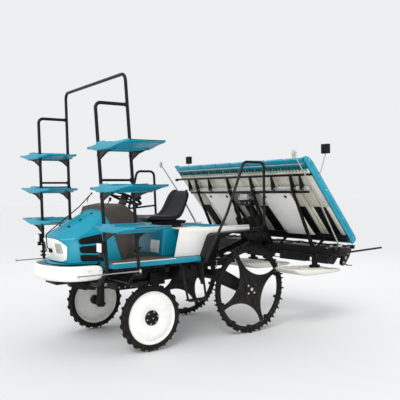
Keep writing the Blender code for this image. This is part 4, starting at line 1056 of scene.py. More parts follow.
def nose_bumper():
    """Full rounded bumper with a moulded step line."""
    profile = [
        (0.000, 0.842), (-0.012, 0.856), (-0.024, 0.852), (-0.034, 0.835), (-0.036, 0.815),
        (-0.033, 0.795), (-0.038, 0.780), (-0.036, 0.745), (-0.028, 0.718), (-0.014, 0.708),
        (0.0, 0.712), (0.0, 0.776)
    ]
    path = [
        (0.449, -0.402), (0.449, -0.50), (0.448, -0.60), (0.436, -0.672), (0.405, -0.735),
        (0.350, -0.790), (0.275, -0.834), (0.180, -0.866), (0.09, -0.881)
    ]
    path = path + [(0.0, -0.8855)] + [(-x, s) for x, s in reversed(path)]
    bm = bmesh.new()
    rows = []
    for i, (x, s) in enumerate(path):
        before, after = path[max(i - 1, 0)], path[min(i + 1, len(path) - 1)]
        run = Vector((after[0] - before[0], after[1] - before[1])).normalized()
        out = Vector((-run.y, run.x))
        if out.dot(Vector((x, s + 0.35))) < 0:
            out = -out
        swell = 0.0 if abs(x) > 0.44 and s > -0.45 else 1.0
        rows.append([
            bm.verts.new(
                P(
                    x + out.x * (-d - 0.037), s + out.y * (-d - 0.037),
                    0.782 + (z - 0.782) * (0.86 + 0.14 * swell)
                )
            )
            for d, z in profile
        ])
    add_skin(bm, rows)
    made = piece("bumper_moulding", bm, cream, smooth=45)
    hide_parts("front_bumper")
    subdivided = made.modifiers.new("round", "SUBSURF")
    subdivided.levels = subdivided.render_levels = 2
    settled(made).data.shade_smooth()
    hull("nose_skirt", [
        P(0.30, -0.40, 0.845), P(0.30, -0.58, 0.845), P(0.24, -0.72, 0.845), P(0.10, -0.775, 0.845),
        P(0.33, -0.40, 0.866), P(0.33, -0.60, 0.866), P(0.26, -0.735, 0.866), P(0.11, -0.80, 0.866),
    ], teal, 0.004, 2)
    bm = bmesh.new()
    for side in (1, -1):
        for s in (-0.44, -0.55):
            add_bolt(bm, P(side * 0.448, s, 0.80), (side, 0, 0), 0.006, 0.004)
    piece("bumper_bolts", bm, zinc)


def console():
    """Dash and cowl, steering column cover, gauges, levers and pedals."""
    made = hull("dash_body", [
        P(0.268, -0.098, 0.867), P(0.255, 0.0, 0.867), P(0.262, 0.02, 0.95), P(0.262, 0.145, 1.15),
        P(0.258, 0.165, 1.205), P(0.235, 0.168, 1.222), P(0.240, 0.04, 1.312),
        P(0.235, -0.03, 1.400), P(0.268, -0.098, 1.36), P(0.22, -0.098, 1.412)
    ], dash, 0.014, 4)
    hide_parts("console")
    hull("dash_cowl", [
        P(0.304, -0.185, 1.13), P(0.304, -0.275, 1.305), P(0.296, -0.30, 1.345),
        P(0.235, -0.310, 1.396), P(0.10, -0.310, 1.414), P(0.304, -0.145, 0.95),
        P(0.303, -0.130, 0.869), P(0.300, -0.075, 0.869), P(0.304, -0.03, 1.14),
        P(0.303, -0.05, 1.30), P(0.240, -0.045, 1.405), P(0.10, -0.045, 1.425),
        P(0.10, -0.20, 1.432)
    ], dash, 0.016, 4)
    bm = bmesh.new()
    lean = math.radians(24)
    axis = Vector((0, math.sin(lean), math.cos(lean)))
    hub = P(0, 0.06, 1.47)
    add_lathe(bm, [
        (-0.20, 0.0), (-0.20, 0.055), (-0.15, 0.046), (-0.145, 0.040), (-0.06, 0.036),
        (-0.055, 0.042), (-0.022, 0.042), (-0.022, 0.0)
    ], hub, axis, 32)
    piece("column_cover", bm, dash)
    bm = bmesh.new()
    turn = Matrix.Rotation(math.radians(-52), 3, "X")
    centre = P(0, 0.02, 1.352)
    add_box(
        bm, centre - Vector((0.11, 0.045, 0.010)), centre + Vector((0.11, 0.045, 0.014)), turn,
        centre
    )
    eased(piece("gauge_hood", bm, soft_black), 0.008, 3)
    bm = bmesh.new()
    face = turn @ Vector((0, 0, 1))
    for x, r in ((-0.060, 0.030), (0.015, 0.022), (0.070, 0.022)):
        spot = Vector((x, centre.y, centre.z)) + face * 0.0145
        add_rod(bm, spot - face * 0.003, spot + face * 0.0015, r, sides=32)
    piece("gauge_faces", bm, clear)
    bm = bmesh.new()
    for x, s, z, top in (
        (0.19, 0.07, 1.275, 1.40), (-0.19, 0.07, 1.275, 1.42), (-0.235, -0.02, 1.39, 1.47)
    ):
        add_tube(bm, [
            P(x, s, z - 0.02), P(x, s + 0.01, (z + top) / 2), P(x, s + 0.035, top)
        ], 0.005, 0.02, sides=12)
        add_lathe(bm, [
            (-0.028, 0.007), (-0.018, 0.012), (0.006, 0.015), (0.016, 0.012), (0.020, 0.0)
        ], P(x, s + 0.036, top), (0, 0.25, 0.97), 20)
    piece("dash_levers", bm, soft_black)
    bm = bmesh.new()
    for side in (1, -1):
        side_prism(bm, (
            (-0.01, 0.90), (0.10, 1.13), (0.085, 1.14), (-0.06, 1.12), (-0.06, 0.90)
        ), 0.262 if side > 0 else -0.266, 0.004)
    eased(piece("dash_side_panels", bm, dash), 0.0015, 1)
    for side, name, stroke in ((1, "brake", 0.0), (-1, "clutch", 0.02)):
        bm = bmesh.new()
        add_tube(bm, [
            P(side * 0.17, -0.01, 0.93), P(side * 0.17, 0.07, 0.915 + stroke),
            P(side * 0.17, 0.12, 0.945 + stroke)
        ], 0.007, 0.02, sides=12)
        turn = Matrix.Rotation(math.radians(38), 3, "X")
        centre = P(side * 0.17, 0.125, 0.95 + stroke)
        add_box(
            bm, centre - Vector((0.035, 0.030, 0.005)), centre + Vector((0.035, 0.030, 0.005)),
            turn, centre
        )
        for i in range(4):
            place = centre + turn @ Vector((0, -0.021 + i * 0.014, 0.006))
            add_box(
                bm, place - Vector((0.030, 0.002, 0.002)), place + Vector((0.030, 0.002, 0.002)),
                turn, place
            )
        eased(piece(f"pedal_{name}", bm, soft_black), 0.0015, 2)


def steering():
    """Padded rim, three flat spokes with a blank boss."""
    lean = math.radians(24)
    axis = Vector((0, math.sin(lean), math.cos(lean)))
    hub = P(0, 0.06, 1.47) + axis * 0.015
    across = Vector((1, 0, 0))
    other = axis.cross(across)

    def spot(a, r, up=0.0):
        """A point on the wheel, at an angle, a radius and a height over the hub."""
        return hub + (across * math.cos(a) + other * math.sin(a)) * r + axis * up

    bm = bmesh.new()
    sides, count = 16, 96
    rings = []
    for i in range(count):
        a = 2 * math.pi * i / count
        grip = 0.0132 + 0.0012 * abs(math.sin(a * 18)) ** 0.5
        rings.append([
            bm.verts.new(spot(a, 0.18 + grip * math.cos(b), grip * math.sin(b)))
            for b in (2 * math.pi * k / sides for k in range(sides))
        ])
    for i in range(count):
        one, two = rings[i], rings[(i + 1) % count]
        for k in range(sides):
            j = (k + 1) % sides
            bm.faces.new((one[k], one[j], two[j], two[k]))
    made = piece("steering_rim", bm, soft_black, "steering_wheel", smooth=60)
    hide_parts("steering_wheel")
    bm = bmesh.new()
    for i in range(3):
        a = math.pi / 2 + i * 2 * math.pi / 3
        add_tube(bm, [
            spot(a, 0.02, 0.006), spot(a, 0.09, -0.002), spot(a, 0.175, 0.0)
        ], 0.008, 0.05, sides=12)
        for turn in (1, -1):
            add_tube(bm, [
                spot(a + turn * 0.10, 0.03, 0.004), spot(a + turn * 0.03, 0.12, -0.002),
                spot(a + turn * 0.02, 0.175, 0.0)
            ], 0.005, 0.05, sides=10)
    add_lathe(bm, [
        (-0.019, 0.0), (-0.019, 0.038), (0.006, 0.044), (0.016, 0.040), (0.021, 0.030), (0.022, 0.0)
    ], hub, axis, 36)
    made = piece("steering_spokes", bm, soft_black, "steering_wheel")
    bm = bmesh.new()
    knob = spot(0.6, 0.165, 0.012)
    add_lathe(bm, [
        (0.0, 0.010), (0.010, 0.010), (0.014, 0.020), (0.032, 0.023), (0.042, 0.018), (0.045, 0.0)
    ], knob, axis, 24)
    piece("steering_knob", bm, soft_black, "steering_wheel")


def floor_plate():
    """Foot plate with a raised sill, a ribbed mat and side skirts."""
    softened("floor_deck", teal, 0.008, 3)
    bm = bmesh.new()
    for side in (1, -1):
        x0, x1 = sorted((side * 0.532, side * 0.558))
        add_box(bm, P(x0, -0.355, 0.862), P(x1, 0.345, 0.871))
    eased(piece("floor_sill", bm, cream), 0.003, 2)
    for side_name, side in SIDES:
        bm = bmesh.new()
        outline = [
            (0.525, -0.345), (0.525, 0.36), (0.32, 0.335), (0.27, 0.005), (0.312, -0.08),
            (0.312, -0.345)
        ]
        add_prism(bm, [P(x, s, 0.8652) for x, s in outline], (0, 0, 0.003))
        for i in range(15):
            x = 0.315 + i * 0.014
            rear = 0.33 if x > 0.32 else 0.30
            front = -0.33
            add_box(bm, P(x - 0.003, front, 0.8675), P(x + 0.003, rear, 0.8705))
        eased(piece(f"mat_{side_name}", mirrored(bm, side), mat), 0.001, 1)
    bm = bmesh.new()
    add_box(bm, P(-0.265, 0.005, 0.8652), P(0.265, 0.325, 0.868))
    for i in range(22):
        s = 0.015 + i * 0.0142
        add_box(bm, P(-0.255, s - 0.003, 0.867), P(0.255, s + 0.003, 0.8705))
    eased(piece("mat_middle", bm, mat), 0.001, 1)


def seat():
    """Seat box with a blank plate, and the padded bucket seat."""
    hull("seat_box", [
        P(0.300, 0.332, 0.867), P(0.298, 0.362, 1.148), P(0.298, 0.755, 1.148),
        P(0.300, 0.755, 1.0), P(0.300, 0.645, 0.867)
    ], teal, 0.012, 4)
    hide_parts("seat_base")
    bm = bmesh.new()
    add_box(bm, P(-0.13, 0.40, 1.147), P(0.13, 0.70, 1.160))
    for side in (1, -1):
        x0, x1 = sorted((side * 0.085, side * 0.115))
        add_box(bm, P(x0, 0.40, 1.158), P(x1, 0.70, 1.194))
    for s in (0.43, 0.66):
        for i in range(9):
            add_lathe(bm, [
                (i * 0.0035, 0.026), (i * 0.0035 + 0.0022, 0.028), (i * 0.0035 + 0.0030, 0.026)
            ], P(0, s, 1.160), (0, 0, 1), 24)
    piece("seat_slides", bm, black)
    slope = (0.362 - 0.332) / (1.148 - 0.867)
    bm = bmesh.new()
    low, high = (0.332 + (z - 0.867) * slope for z in (0.900, 1.030))
    add_prism(bm, [
        P(0.06, low, 0.900), P(0.235, low, 0.900), P(0.235, high, 1.030), P(0.06, high, 1.030)
    ], (0, -0.003, 0))
    eased(piece("blank_plate", bm, plate), 0.0015, 2)

    path = [
        (0.262, 1.232, 0.170), (0.262, 1.250, 0.195), (0.275, 1.264, 0.208), (0.305, 1.270, 0.216),
        (0.36, 1.268, 0.222), (0.42, 1.264, 0.226), (0.48, 1.262, 0.228), (0.54, 1.263, 0.228),
        (0.590, 1.272, 0.226), (0.628, 1.294, 0.220), (0.655, 1.330, 0.212), (0.678, 1.370, 0.206),
        (0.698, 1.410, 0.202), (0.716, 1.450, 0.198), (0.734, 1.488, 0.190), (0.752, 1.520, 0.176),
        (0.770, 1.543, 0.150), (0.790, 1.553, 0.118)
    ]
    columns = [
        -1, -0.97, -0.9, -0.78, -0.68, -0.62, -0.56, -0.4, -0.2, 0, 0.2, 0.4, 0.56, 0.62, 0.68,
        0.78, 0.9, 0.97, 1
    ]
    bm = bmesh.new()
    fronts, backs = [], []
    for i, (s, z, half) in enumerate(path):
        before, after = path[max(i - 1, 0)], path[min(i + 1, len(path) - 1)]
        run = Vector((0, after[0] - before[0], after[1] - before[1])).normalized()
        normal = Vector((0, -run.z, run.y))
        seam = 0.006 if i in (4, 6, 8, 11, 13) else 0.0
        front, back = [], []
        for u in columns:
            roll = 0.036 * max(0.0, (abs(u) - 0.55) / 0.45) ** 1.3
            fall = 0.030 * max(0.0, (abs(u) - 0.86) / 0.14) ** 2
            stitch = 0.007 if abs(abs(u) - 0.62) < 0.02 else 0.0
            crown = 0.006 * (1 - u * u)
            rise = roll - fall + crown - stitch - (seam if abs(u) < 0.6 else 0)
            front.append(bm.verts.new(P(u * half, s, z) + normal * rise))
            thick = 0.050 - 0.022 * abs(u) ** 3
            back.append(
                bm.verts.new(P(u * half * 0.97, s, z) + normal * (roll * 0.75 - fall - thick))
            )
        fronts.append(front)
        backs.append(back)
    last = len(columns) - 1
    for rows, flip in ((fronts, False), (backs, True)):
        for one, two in zip(rows, rows[1:]):
            for k in range(last):
                face = (one[k], one[k + 1], two[k + 1], two[k])
                bm.faces.new(tuple(reversed(face)) if flip else face)
    for i in range(len(path) - 1):
        bm.faces.new((fronts[i][0], fronts[i + 1][0], backs[i + 1][0], backs[i][0]))
        bm.faces.new((fronts[i + 1][last], fronts[i][last], backs[i][last], backs[i + 1][last]))
    for k in range(last):
        bm.faces.new((fronts[0][k + 1], fronts[0][k], backs[0][k], backs[0][k + 1]))
        bm.faces.new((fronts[-1][k], fronts[-1][k + 1], backs[-1][k + 1], backs[-1][k]))
    made = piece("bucket_seat", bm, vinyl, smooth=70)
    smooth = made.modifiers.new("round", "SUBSURF")
    smooth.levels = smooth.render_levels = 1
    settled(made).data.shade_smooth()
    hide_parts("seat")
    bm = bmesh.new()
    for side in (1, -1):
        line = []
        for i, (s, z, half) in enumerate(path):
            before, after = path[max(i - 1, 0)], path[min(i + 1, len(path) - 1)]
            run = Vector((0, after[0] - before[0], after[1] - before[1])).normalized()
            normal = Vector((0, -run.z, run.y))
            line.append(P(side * half * 0.985, s, z) + normal * 0.004)
        add_tube(bm, line, 0.0035, sides=8)
    piece("seat_piping", bm, soft_black)
    hull("seat_pan", [
        P(0.19, 0.29, 1.197), P(0.20, 0.70, 1.197), P(0.15, 0.285, 1.222), P(0.205, 0.30, 1.222),
        P(0.21, 0.64, 1.235), P(0.20, 0.72, 1.225)
    ], soft_black, 0.008, 3)


def covers():
    """White side covers with a rolled top, the deck between them and the mudguards."""
    for side_name, side in SIDES:
        bm = bmesh.new()
        outline = [
            (0.383, 0.868), (0.452, 1.160), (1.385, 1.143), (1.385, 1.098), (0.826, 1.072),
            (0.705, 0.862), (0.66, 0.868)
        ]
        side_prism(bm, outline, 0.4585, 0.011)
        made = piece(f"side_cover_{side_name}", mirrored(bm, side), cream)
        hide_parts(f"rear_cover_{side_name}")
        eased(made, 0.006, 3)
        bm = bmesh.new()
        add_prism(bm, [
            P(x, s, 1.1485 + (0.004 if x < 0.44 else 0.0))
            for x, s in (
                (0.468, 0.455), (0.468, 1.38), (0.443, 1.38), (0.443, 0.785), (0.303, 0.785),
                (0.303, 0.455)
            )
        ], (0, 0, 0.0125))
        eased(piece(f"cover_top_{side_name}", mirrored(bm, side), cream), 0.004, 3)
        bm = bmesh.new()
        side_prism(bm, (
            (0.47, 0.90), (0.505, 1.12), (1.33, 1.115), (1.33, 1.112), (0.508, 1.116), (0.474, 0.90)
        ), 0.4690, 0.0025)
        for s, z in ((0.50, 1.135), (0.90, 1.128), (1.30, 1.122), (0.44, 0.90), (0.66, 0.90)):
            add_rod(bm, P(0.4695, s, z), P(0.4725, s, z), 0.006, sides=16)
        piece(f"cover_trim_{side_name}", mirrored(bm, side), cream)
        softened(f"mudguard_{side_name}", black, 0.004, 2)
        bm = bmesh.new()
        lip = [
            P(0.6215, s, z)
            for s, z in ((0.672, 0.798), (0.795, 1.073), (0.833, 1.096), (1.428, 1.111))
        ]
        add_tube(bm, lip, 0.0045, 0.03, sides=10)
        piece(f"mudguard_bead_{side_name}", mirrored(bm, side), black)
    softened("rear_deck", teal, 0.004, 3)
    bm = bmesh.new()
    for i in range(9):
        x = -0.36 + i * 0.09
        add_box(bm, P(x - 0.012, 0.83, 1.1585), P(x + 0.012, 1.12, 1.1635))
    eased(piece("deck_ribs", bm, teal), 0.002, 2)


hood()
nose_bumper()
console()
steering()
floor_plate()
seat()
covers()


# ---------------------------------------------------------------- planting unit

TILT = math.radians(38.5)
TRAY_TOP = (1.49, 1.86)
TRAY_LENGTH = 1.17
TRAY_T = 0.026
ROWS = 8
PITCH = 0.30
HALF = ROWS * PITCH / 2 + 0.025
ROW_X = [(row + 0.5 - ROWS / 2) * PITCH for row in range(ROWS)]
SLOPE = Vector((0, math.sin(TILT), -math.cos(TILT)))
FACE = Vector((0, math.cos(TILT), math.sin(TILT)))
# Where bars and shafts cross the machine, as (station, z).
BEAM = (1.95, 0.87)
PIPE = (1.67, 1.56)
ROTOR_AXIS = (2.38, 0.79)
# Places along X of the planting cases, the drive covers, the tray stays and its hangers.
CASE_X = (-0.9, -0.3, 0.3, 0.9)
DRIVE_SPANS = ((-1.18, -0.96), (-0.84, -0.36), (-0.24, 0.24), (0.36, 0.84), (0.96, 1.18))
STAY_X = (-0.9, -0.22, 0.22, 0.9)
HANGER_X = (-1.05, -0.60, 0.60, 1.05)


def on_tray(x, down, out):
    """Point down the tray's slope and out from its seedling face."""
    return P(x, *TRAY_TOP) + SLOPE * down + FACE * out


def tray_block(bm, x0, x1, d0, d1, o0, o1):
    """A block on the tray, between two sides, two depths and two heights."""
    x0, x1 = sorted((x0, x1))
    outline = [on_tray(x0, d0, o0), on_tray(x0, d1, o0), on_tray(x0, d1, o1), on_tray(x0, d0, o1)]
    add_prism(bm, outline, (x1 - x0, 0, 0))


def tray_piece(name, blocks, look, width=0.002, segments=2, body="tray"):
    """A piece made of tray blocks, with rounded edges."""
    bm = bmesh.new()
    for block in blocks:
        tray_block(bm, *block)
    return eased(piece(name, bm, look, body), width, segments)


def tray():
    """Sloping tray: lanes with belts, dividers, side plates, comb and planked underside."""
    inner = HALF - 0.025
    # The deck takes the darker teal: painted shade between the lanes.
    deck = tray_piece(
        "tray_deck", [(-inner, inner, 0.015, TRAY_LENGTH, 0.008, TRAY_T - 0.002)], teal_painted_shade
    )
    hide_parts("seedling_tray")
    lanes, belts, cleats, strips = [], [], [], []
    for x in ROW_X:
        w = PITCH / 2 - 0.014
        for k in range(7):
            u = x - w + 0.020 + k * (2 * w - 0.04) / 6
            if abs(abs(u - x) - 0.055) > 0.022:
                lanes.append((
                    u - 0.006, u + 0.006, 0.03, TRAY_LENGTH - 0.02, TRAY_T - 0.004, TRAY_T + 0.004
                ))
        for side in (1, -1):
            c = x + side * 0.055
            belts.append((
                c - 0.016, c + 0.016, 0.62, TRAY_LENGTH - 0.03, TRAY_T - 0.004, TRAY_T + 0.007
            ))
            for k in range(15):
                d = 0.645 + k * 0.034
                cleats.append((c - 0.017, c + 0.017, d, d + 0.008, TRAY_T + 0.005, TRAY_T + 0.013))
        strips.append((x - 0.139, x + 0.139, -0.004, 0.085, -0.010, TRAY_T + 0.001))
    tray_piece("tray_lanes", lanes, teal, width=0.0015, segments=1)
    tray_piece("tray_belts", belts + cleats, soft_black, 0.0012, 1)
    tray_piece("tray_top_strips", strips, teal, width=0.006, segments=3)
    dividers = []
    for row in range(1, ROWS):
        x = (row - ROWS / 2) * PITCH
        dividers.append((
            x - 0.0075, x + 0.0075, 0.03, TRAY_LENGTH - 0.01, TRAY_T - 0.004, TRAY_T + 0.043
        ))
        dividers.append((
            x - 0.010, x + 0.010, 0.03, TRAY_LENGTH - 0.01, TRAY_T + 0.036, TRAY_T + 0.045
        ))
    tray_piece("tray_dividers", dividers, teal, width=0.002)
    bm = bmesh.new()
    edge = [
        (-0.018, 0.001), (-0.018, 0.020), (-0.006, 0.045), (0.020, 0.066), (0.060, 0.082),
        (0.110, 0.090), (1.120, 0.090), (1.160, 0.084), (1.178, 0.064), (1.178, 0.001)
    ]
    for side in (1, -1):
        x = min(side * HALF, side * (HALF - 0.025))
        add_prism(bm, [on_tray(x, down, out) for down, out in edge], (0.025, 0, 0))
    eased(piece("tray_sides", bm, teal, "tray"), 0.006, 3)
    ribs = []
    for side in (1, -1):
        for k in range(7):
            d = 0.10 + k * 0.165
            x0, x1 = side * HALF, side * (HALF + 0.004)
            ribs.append((x0, x1, d, d + 0.010, 0.012, TRAY_T + 0.052))
        ribs.append((side * HALF, side * (HALF + 0.004), 0.03, TRAY_LENGTH - 0.04, 0.038, 0.046))
    tray_piece("tray_side_ribs", ribs, teal, width=0.001, segments=1)
    planks = []
    for x in ROW_X:
        planks.append((x - 0.147, x + 0.147, 0.130, 0.64, -0.0055, 0.010))
        planks.append((x - 0.147, x - 0.092, 0.64, 1.04, -0.0055, 0.010))
        planks.append((x + 0.092, x + 0.147, 0.64, 1.04, -0.0055, 0.010))
        for u in (-0.10, -0.05, 0.0, 0.05, 0.10):
            planks.append((x + u - 0.003, x + u + 0.003, 0.28, 0.63, -0.0105, 0.0))
    tray_piece("tray_underside", planks, underside, 0.0015, 1)
    dark = []
    for x in ROW_X:
        dark.append((x - 0.090, x + 0.090, 0.645, 1.035, -0.003, 0.010))
        for u in (-0.06, -0.03, 0.0, 0.03, 0.06):
            dark.append((x + u - 0.004, x + u + 0.004, 0.66, 1.02, -0.007, 0.0))
    tray_piece("tray_belt_bays", dark, soft_black, 0.001, 1)
    # The comb takes the darker teal: painted shade under the tray's top strips.
    comb = []
    for k in range(48):
        x = -inner + 0.025 + k * (2 * inner - 0.05) / 47
        comb.append((x - 0.004, x + 0.004, 0.070, 0.150, -0.016, 0.004))
    tray_piece("tray_comb", comb, teal_painted_shade, width=0.002, segments=2)
    bm = bmesh.new()
    for d, o, r in ((0.045, -0.022, 0.006), (0.125, -0.022, 0.0045)):
        add_tube(bm, [on_tray(-inner + 0.01, d, o), on_tray(inner - 0.01, d, o)], r, sides=12)
    for row in range(ROWS + 1):
        x = (row - ROWS / 2) * PITCH * 0.985
        for d in (0.045, 0.125):
            add_tube(bm, [on_tray(x, d, -0.022), on_tray(x, d, 0.0)], 0.005, sides=10)
    piece("tray_rods", bm, pipe_grey, "tray")
    bm = bmesh.new()
    for x in ROW_X:
        for u in (-0.07, 0.07):
            add_bolt(bm, on_tray(x + u, 0.100, -0.010), -FACE, 0.006, 0.005)
            add_bolt(bm, on_tray(x + u, 0.245, -0.0105), -FACE, 0.0045, 0.004)
    for side in (1, -1):
        for d in (0.05, 0.45, 0.85, 1.12):
            add_bolt(bm, on_tray(side * (HALF + 0.0005), d, 0.05), (side, 0, 0), 0.006, 0.004)
    piece("tray_bolts", bm, zinc, "tray")
    bm = bmesh.new()
    for x in ROW_X:
        for side in (1, -1):
            c = x + side * 0.055
            for d in (0.62, TRAY_LENGTH - 0.03):
                ends = [on_tray(c + reach, d, TRAY_T - 0.004) for reach in (-0.017, 0.017)]
                add_tube(bm, ends, 0.011, sides=16)
    piece("belt_rollers", bm, soft_black, "tray")
    for side_name, side in SIDES:
        foot = on_tray(HALF - 0.004, 0.27, 0.05)
        top = Vector((HALF + 0.05, foot.y + 0.06, foot.z + 0.24))
        bm = bmesh.new()
        add_tube(bm, [
            foot, foot + Vector((0.02, 0.02, 0.06)), top + Vector((0, 0, 0.01))
        ], 0.0055, 0.02, sides=12)
        add_tube(bm, [
            foot + Vector((-0.004, -0.02, -0.01)), foot + Vector((0.008, 0.0, 0.0)),
            foot + Vector((0.01, 0.03, 0.02))
        ], 0.004, sides=8)
        piece(f"tail_lamp_stay_{side_name}", mirrored(bm, side), steel, "tray")
        bm = bmesh.new()
        add_box(bm, top - Vector((0.049, 0.024, 0)), top + Vector((0.049, 0.016, 0.10)))
        add_box(bm, top + Vector((-0.012, -0.028, 0.01)), top + Vector((0.012, -0.018, 0.05)))
        eased(
            piece(
                f"tail_lamp_case_{side_name}", mirrored(bm, side), soft_black, "tray",
            ),
            0.006, 3
        )
        bm = bmesh.new()
        add_box(bm, top + Vector((-0.040, 0.006, 0.009)), top + Vector((0.040, 0.0185, 0.091)))
        eased(piece(f"tail_lamp_lens_{side_name}", mirrored(bm, side), amber, "tray"), 0.006, 3)
        bm = bmesh.new()
        for k in range(8):
            z = 0.012 + k * 0.0108
            add_box(bm, top + Vector((-0.034, 0.017, z)), top + Vector((0.034, 0.0205, z + 0.003)))
        piece(f"tail_lamp_ribs_{side_name}", mirrored(bm, side), amber, "tray")


def tray_rear_frame():
    """Grey cross pipe with a black bar under it as painted shadow, guide tube, leaning stays and
    the feed drive in the middle.
    """
    p = 0.025
    bm = bmesh.new()
    add_box(bm, P(-1.12, PIPE[0] - p, PIPE[1] - p), P(1.12, PIPE[0] + p, PIPE[1] + p))
    made = eased(piece("cross_pipe", bm, pipe_grey, "planting_unit"), 0.006, 3)
    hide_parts("tray_frame")
    guide = on_tray(0, 0.19, -0.0133)
    bm = bmesh.new()
    add_tube(bm, [
        Vector((-HALF, guide.y, guide.z)), Vector((HALF, guide.y, guide.z))
    ], 0.0128, sides=18)
    for x in STAY_X:
        outline = [
            (1.915, 0.9105), (1.95, 0.9105), (1.649, 1.535), (1.649, 1.581), (1.66, 1.581),
            (guide.y - AXLE_Y + 0.008, guide.z - 0.006),
            (guide.y - AXLE_Y - 0.012, guide.z + 0.004), (1.619, 1.56)
        ]
        side_prism(bm, outline, x - 0.014, 0.028)
        add_tube(bm, [P(x, 1.90, 0.93), P(x, 1.63, 1.53)], 0.008, sides=10)
        add_box(
            bm, P(x - 0.035, PIPE[0] - 0.033, PIPE[1] - 0.031),
            P(x + 0.035, PIPE[0] + 0.031, PIPE[1] + 0.031)
        )
    # A black bar under the cross pipe stands for the pipe's shadow: painted shadow.
    add_box(
        bm, P(-1.10, PIPE[0] - 0.012, PIPE[1] - 0.052), P(1.10, PIPE[0] + 0.020, PIPE[1] - 0.027)
    )
    add_tube(bm, [
        Vector((-1.352, guide.y, guide.z)), Vector((-HALF + 0.02, guide.y, guide.z))
    ], 0.0128, sides=18)
    end = Vector((-1.352, guide.y, guide.z)) - FACE * 0.009
    add_rod(bm, end, end + Vector((0.034, 0, 0)), 0.019, sides=18)
    for x in HANGER_X:
        side_prism(bm, (
            (1.60, 1.548), (1.645, 1.535), (1.66, 1.58),
            (guide.y - AXLE_Y + 0.002, guide.z - 0.008), (guide.y - AXLE_Y - 0.014, guide.z)
        ), x - 0.009, 0.018)
    eased(piece("tray_stays", bm, black, "planting_unit"), 0.002, 2)
    bm = bmesh.new()
    for x in STAY_X:
        for u in (-0.022, 0.022):
            add_bolt(bm, P(x + u, PIPE[0] - 0.033, PIPE[1]), (0, -1, 0), 0.006, 0.006)
    for x in HANGER_X:
        add_bolt(bm, P(x + 0.009, 1.63, 1.555), (1, 0, 0), 0.005, 0.005)
    piece("stay_bolts", bm, zinc, "planting_unit")

    bm = bmesh.new()
    add_box(bm, P(-0.16, 1.80, 0.935), P(0.16, 1.915, 1.06))
    add_box(bm, P(-0.10, 1.76, 1.06), P(0.08, 1.86, 1.20))
    add_rod(bm, P(-0.20, 1.83, 1.00), P(0.24, 1.83, 1.00), 0.042, sides=24)
    add_rod(bm, P(-0.13, 1.81, 1.13), P(0.16, 1.81, 1.13), 0.034, sides=24)
    add_rod(bm, P(0.12, 1.78, 1.10), P(0.12, 1.70, 1.33), 0.018, sides=16)
    add_rod(bm, P(-0.14, 1.77, 1.15), P(-0.14, 1.68, 1.38), 0.014, sides=16)
    add_box(bm, P(-0.06, 1.665, 1.36), P(0.15, 1.735, 1.43))
    for x in (-0.18, -0.05, 0.06, 0.19):
        side_prism(bm, (
            (1.79, 0.98), (1.90, 0.95), (1.88, 1.09), (1.73, 1.24), (1.70, 1.20)
        ), x - 0.004, 0.008)
    eased(piece("feed_drive", bm, cast, "planting_unit"), 0.006, 2)
    bm = bmesh.new()
    add_box(bm, P(-0.02, 1.64, 1.43), P(0.115, 1.72, 1.50))
    add_lathe(bm, [
        (-0.075, 0.0), (-0.075, 0.030), (-0.066, 0.036), (0.055, 0.036), (0.066, 0.030),
        (0.085, 0.016), (0.085, 0.0)
    ], P(-0.02, 1.69, 1.455), (1, -0.25, 0.12), 28)
    eased(piece("level_motor", bm, pipe_grey, "planting_unit"), 0.004, 2)
    bm = bmesh.new()
    for start, mid, end in (
        ((0.05, 1.70, 1.46), (0.24, 1.66, 1.40), (0.22, 1.80, 1.05)),
        ((0.0, 1.72, 1.45), (-0.22, 1.70, 1.34), (-0.16, 1.80, 1.06)),
        ((0.10, 1.69, 1.48), (0.28, 1.64, 1.50), (0.45, 1.645, 1.535)),
        ((0.16, 1.81, 1.14), (0.25, 1.78, 1.22), (0.22, 1.70, 1.42))
    ):
        add_tube(bm, [P(*start), P(*mid), P(*end)], 0.006, 0.06, sides=10)
    for k in range(7):
        add_rod(
            bm, P(-0.19 + k * 0.006, 1.83, 1.00), P(-0.187 + k * 0.006, 1.83, 1.00), 0.050, sides=24
        )
    piece("drive_pipes", bm, soft_black, "planting_unit")
    bm = bmesh.new()
    for x, s, z in (
        (0.161, 1.84, 0.97), (0.161, 1.88, 1.03), (0.161, 1.82, 1.03), (0.081, 1.78, 1.09),
        (0.081, 1.84, 1.17)
    ):
        add_bolt(bm, P(x, s, z), (1, 0, 0), 0.006, 0.006)
    for x in (-0.05, 0.05, 0.12):
        add_bolt(bm, P(x, 1.664, 1.395), (0, -1, 0), 0.005, 0.005)
    piece("drive_bolts", bm, zinc, "planting_unit")

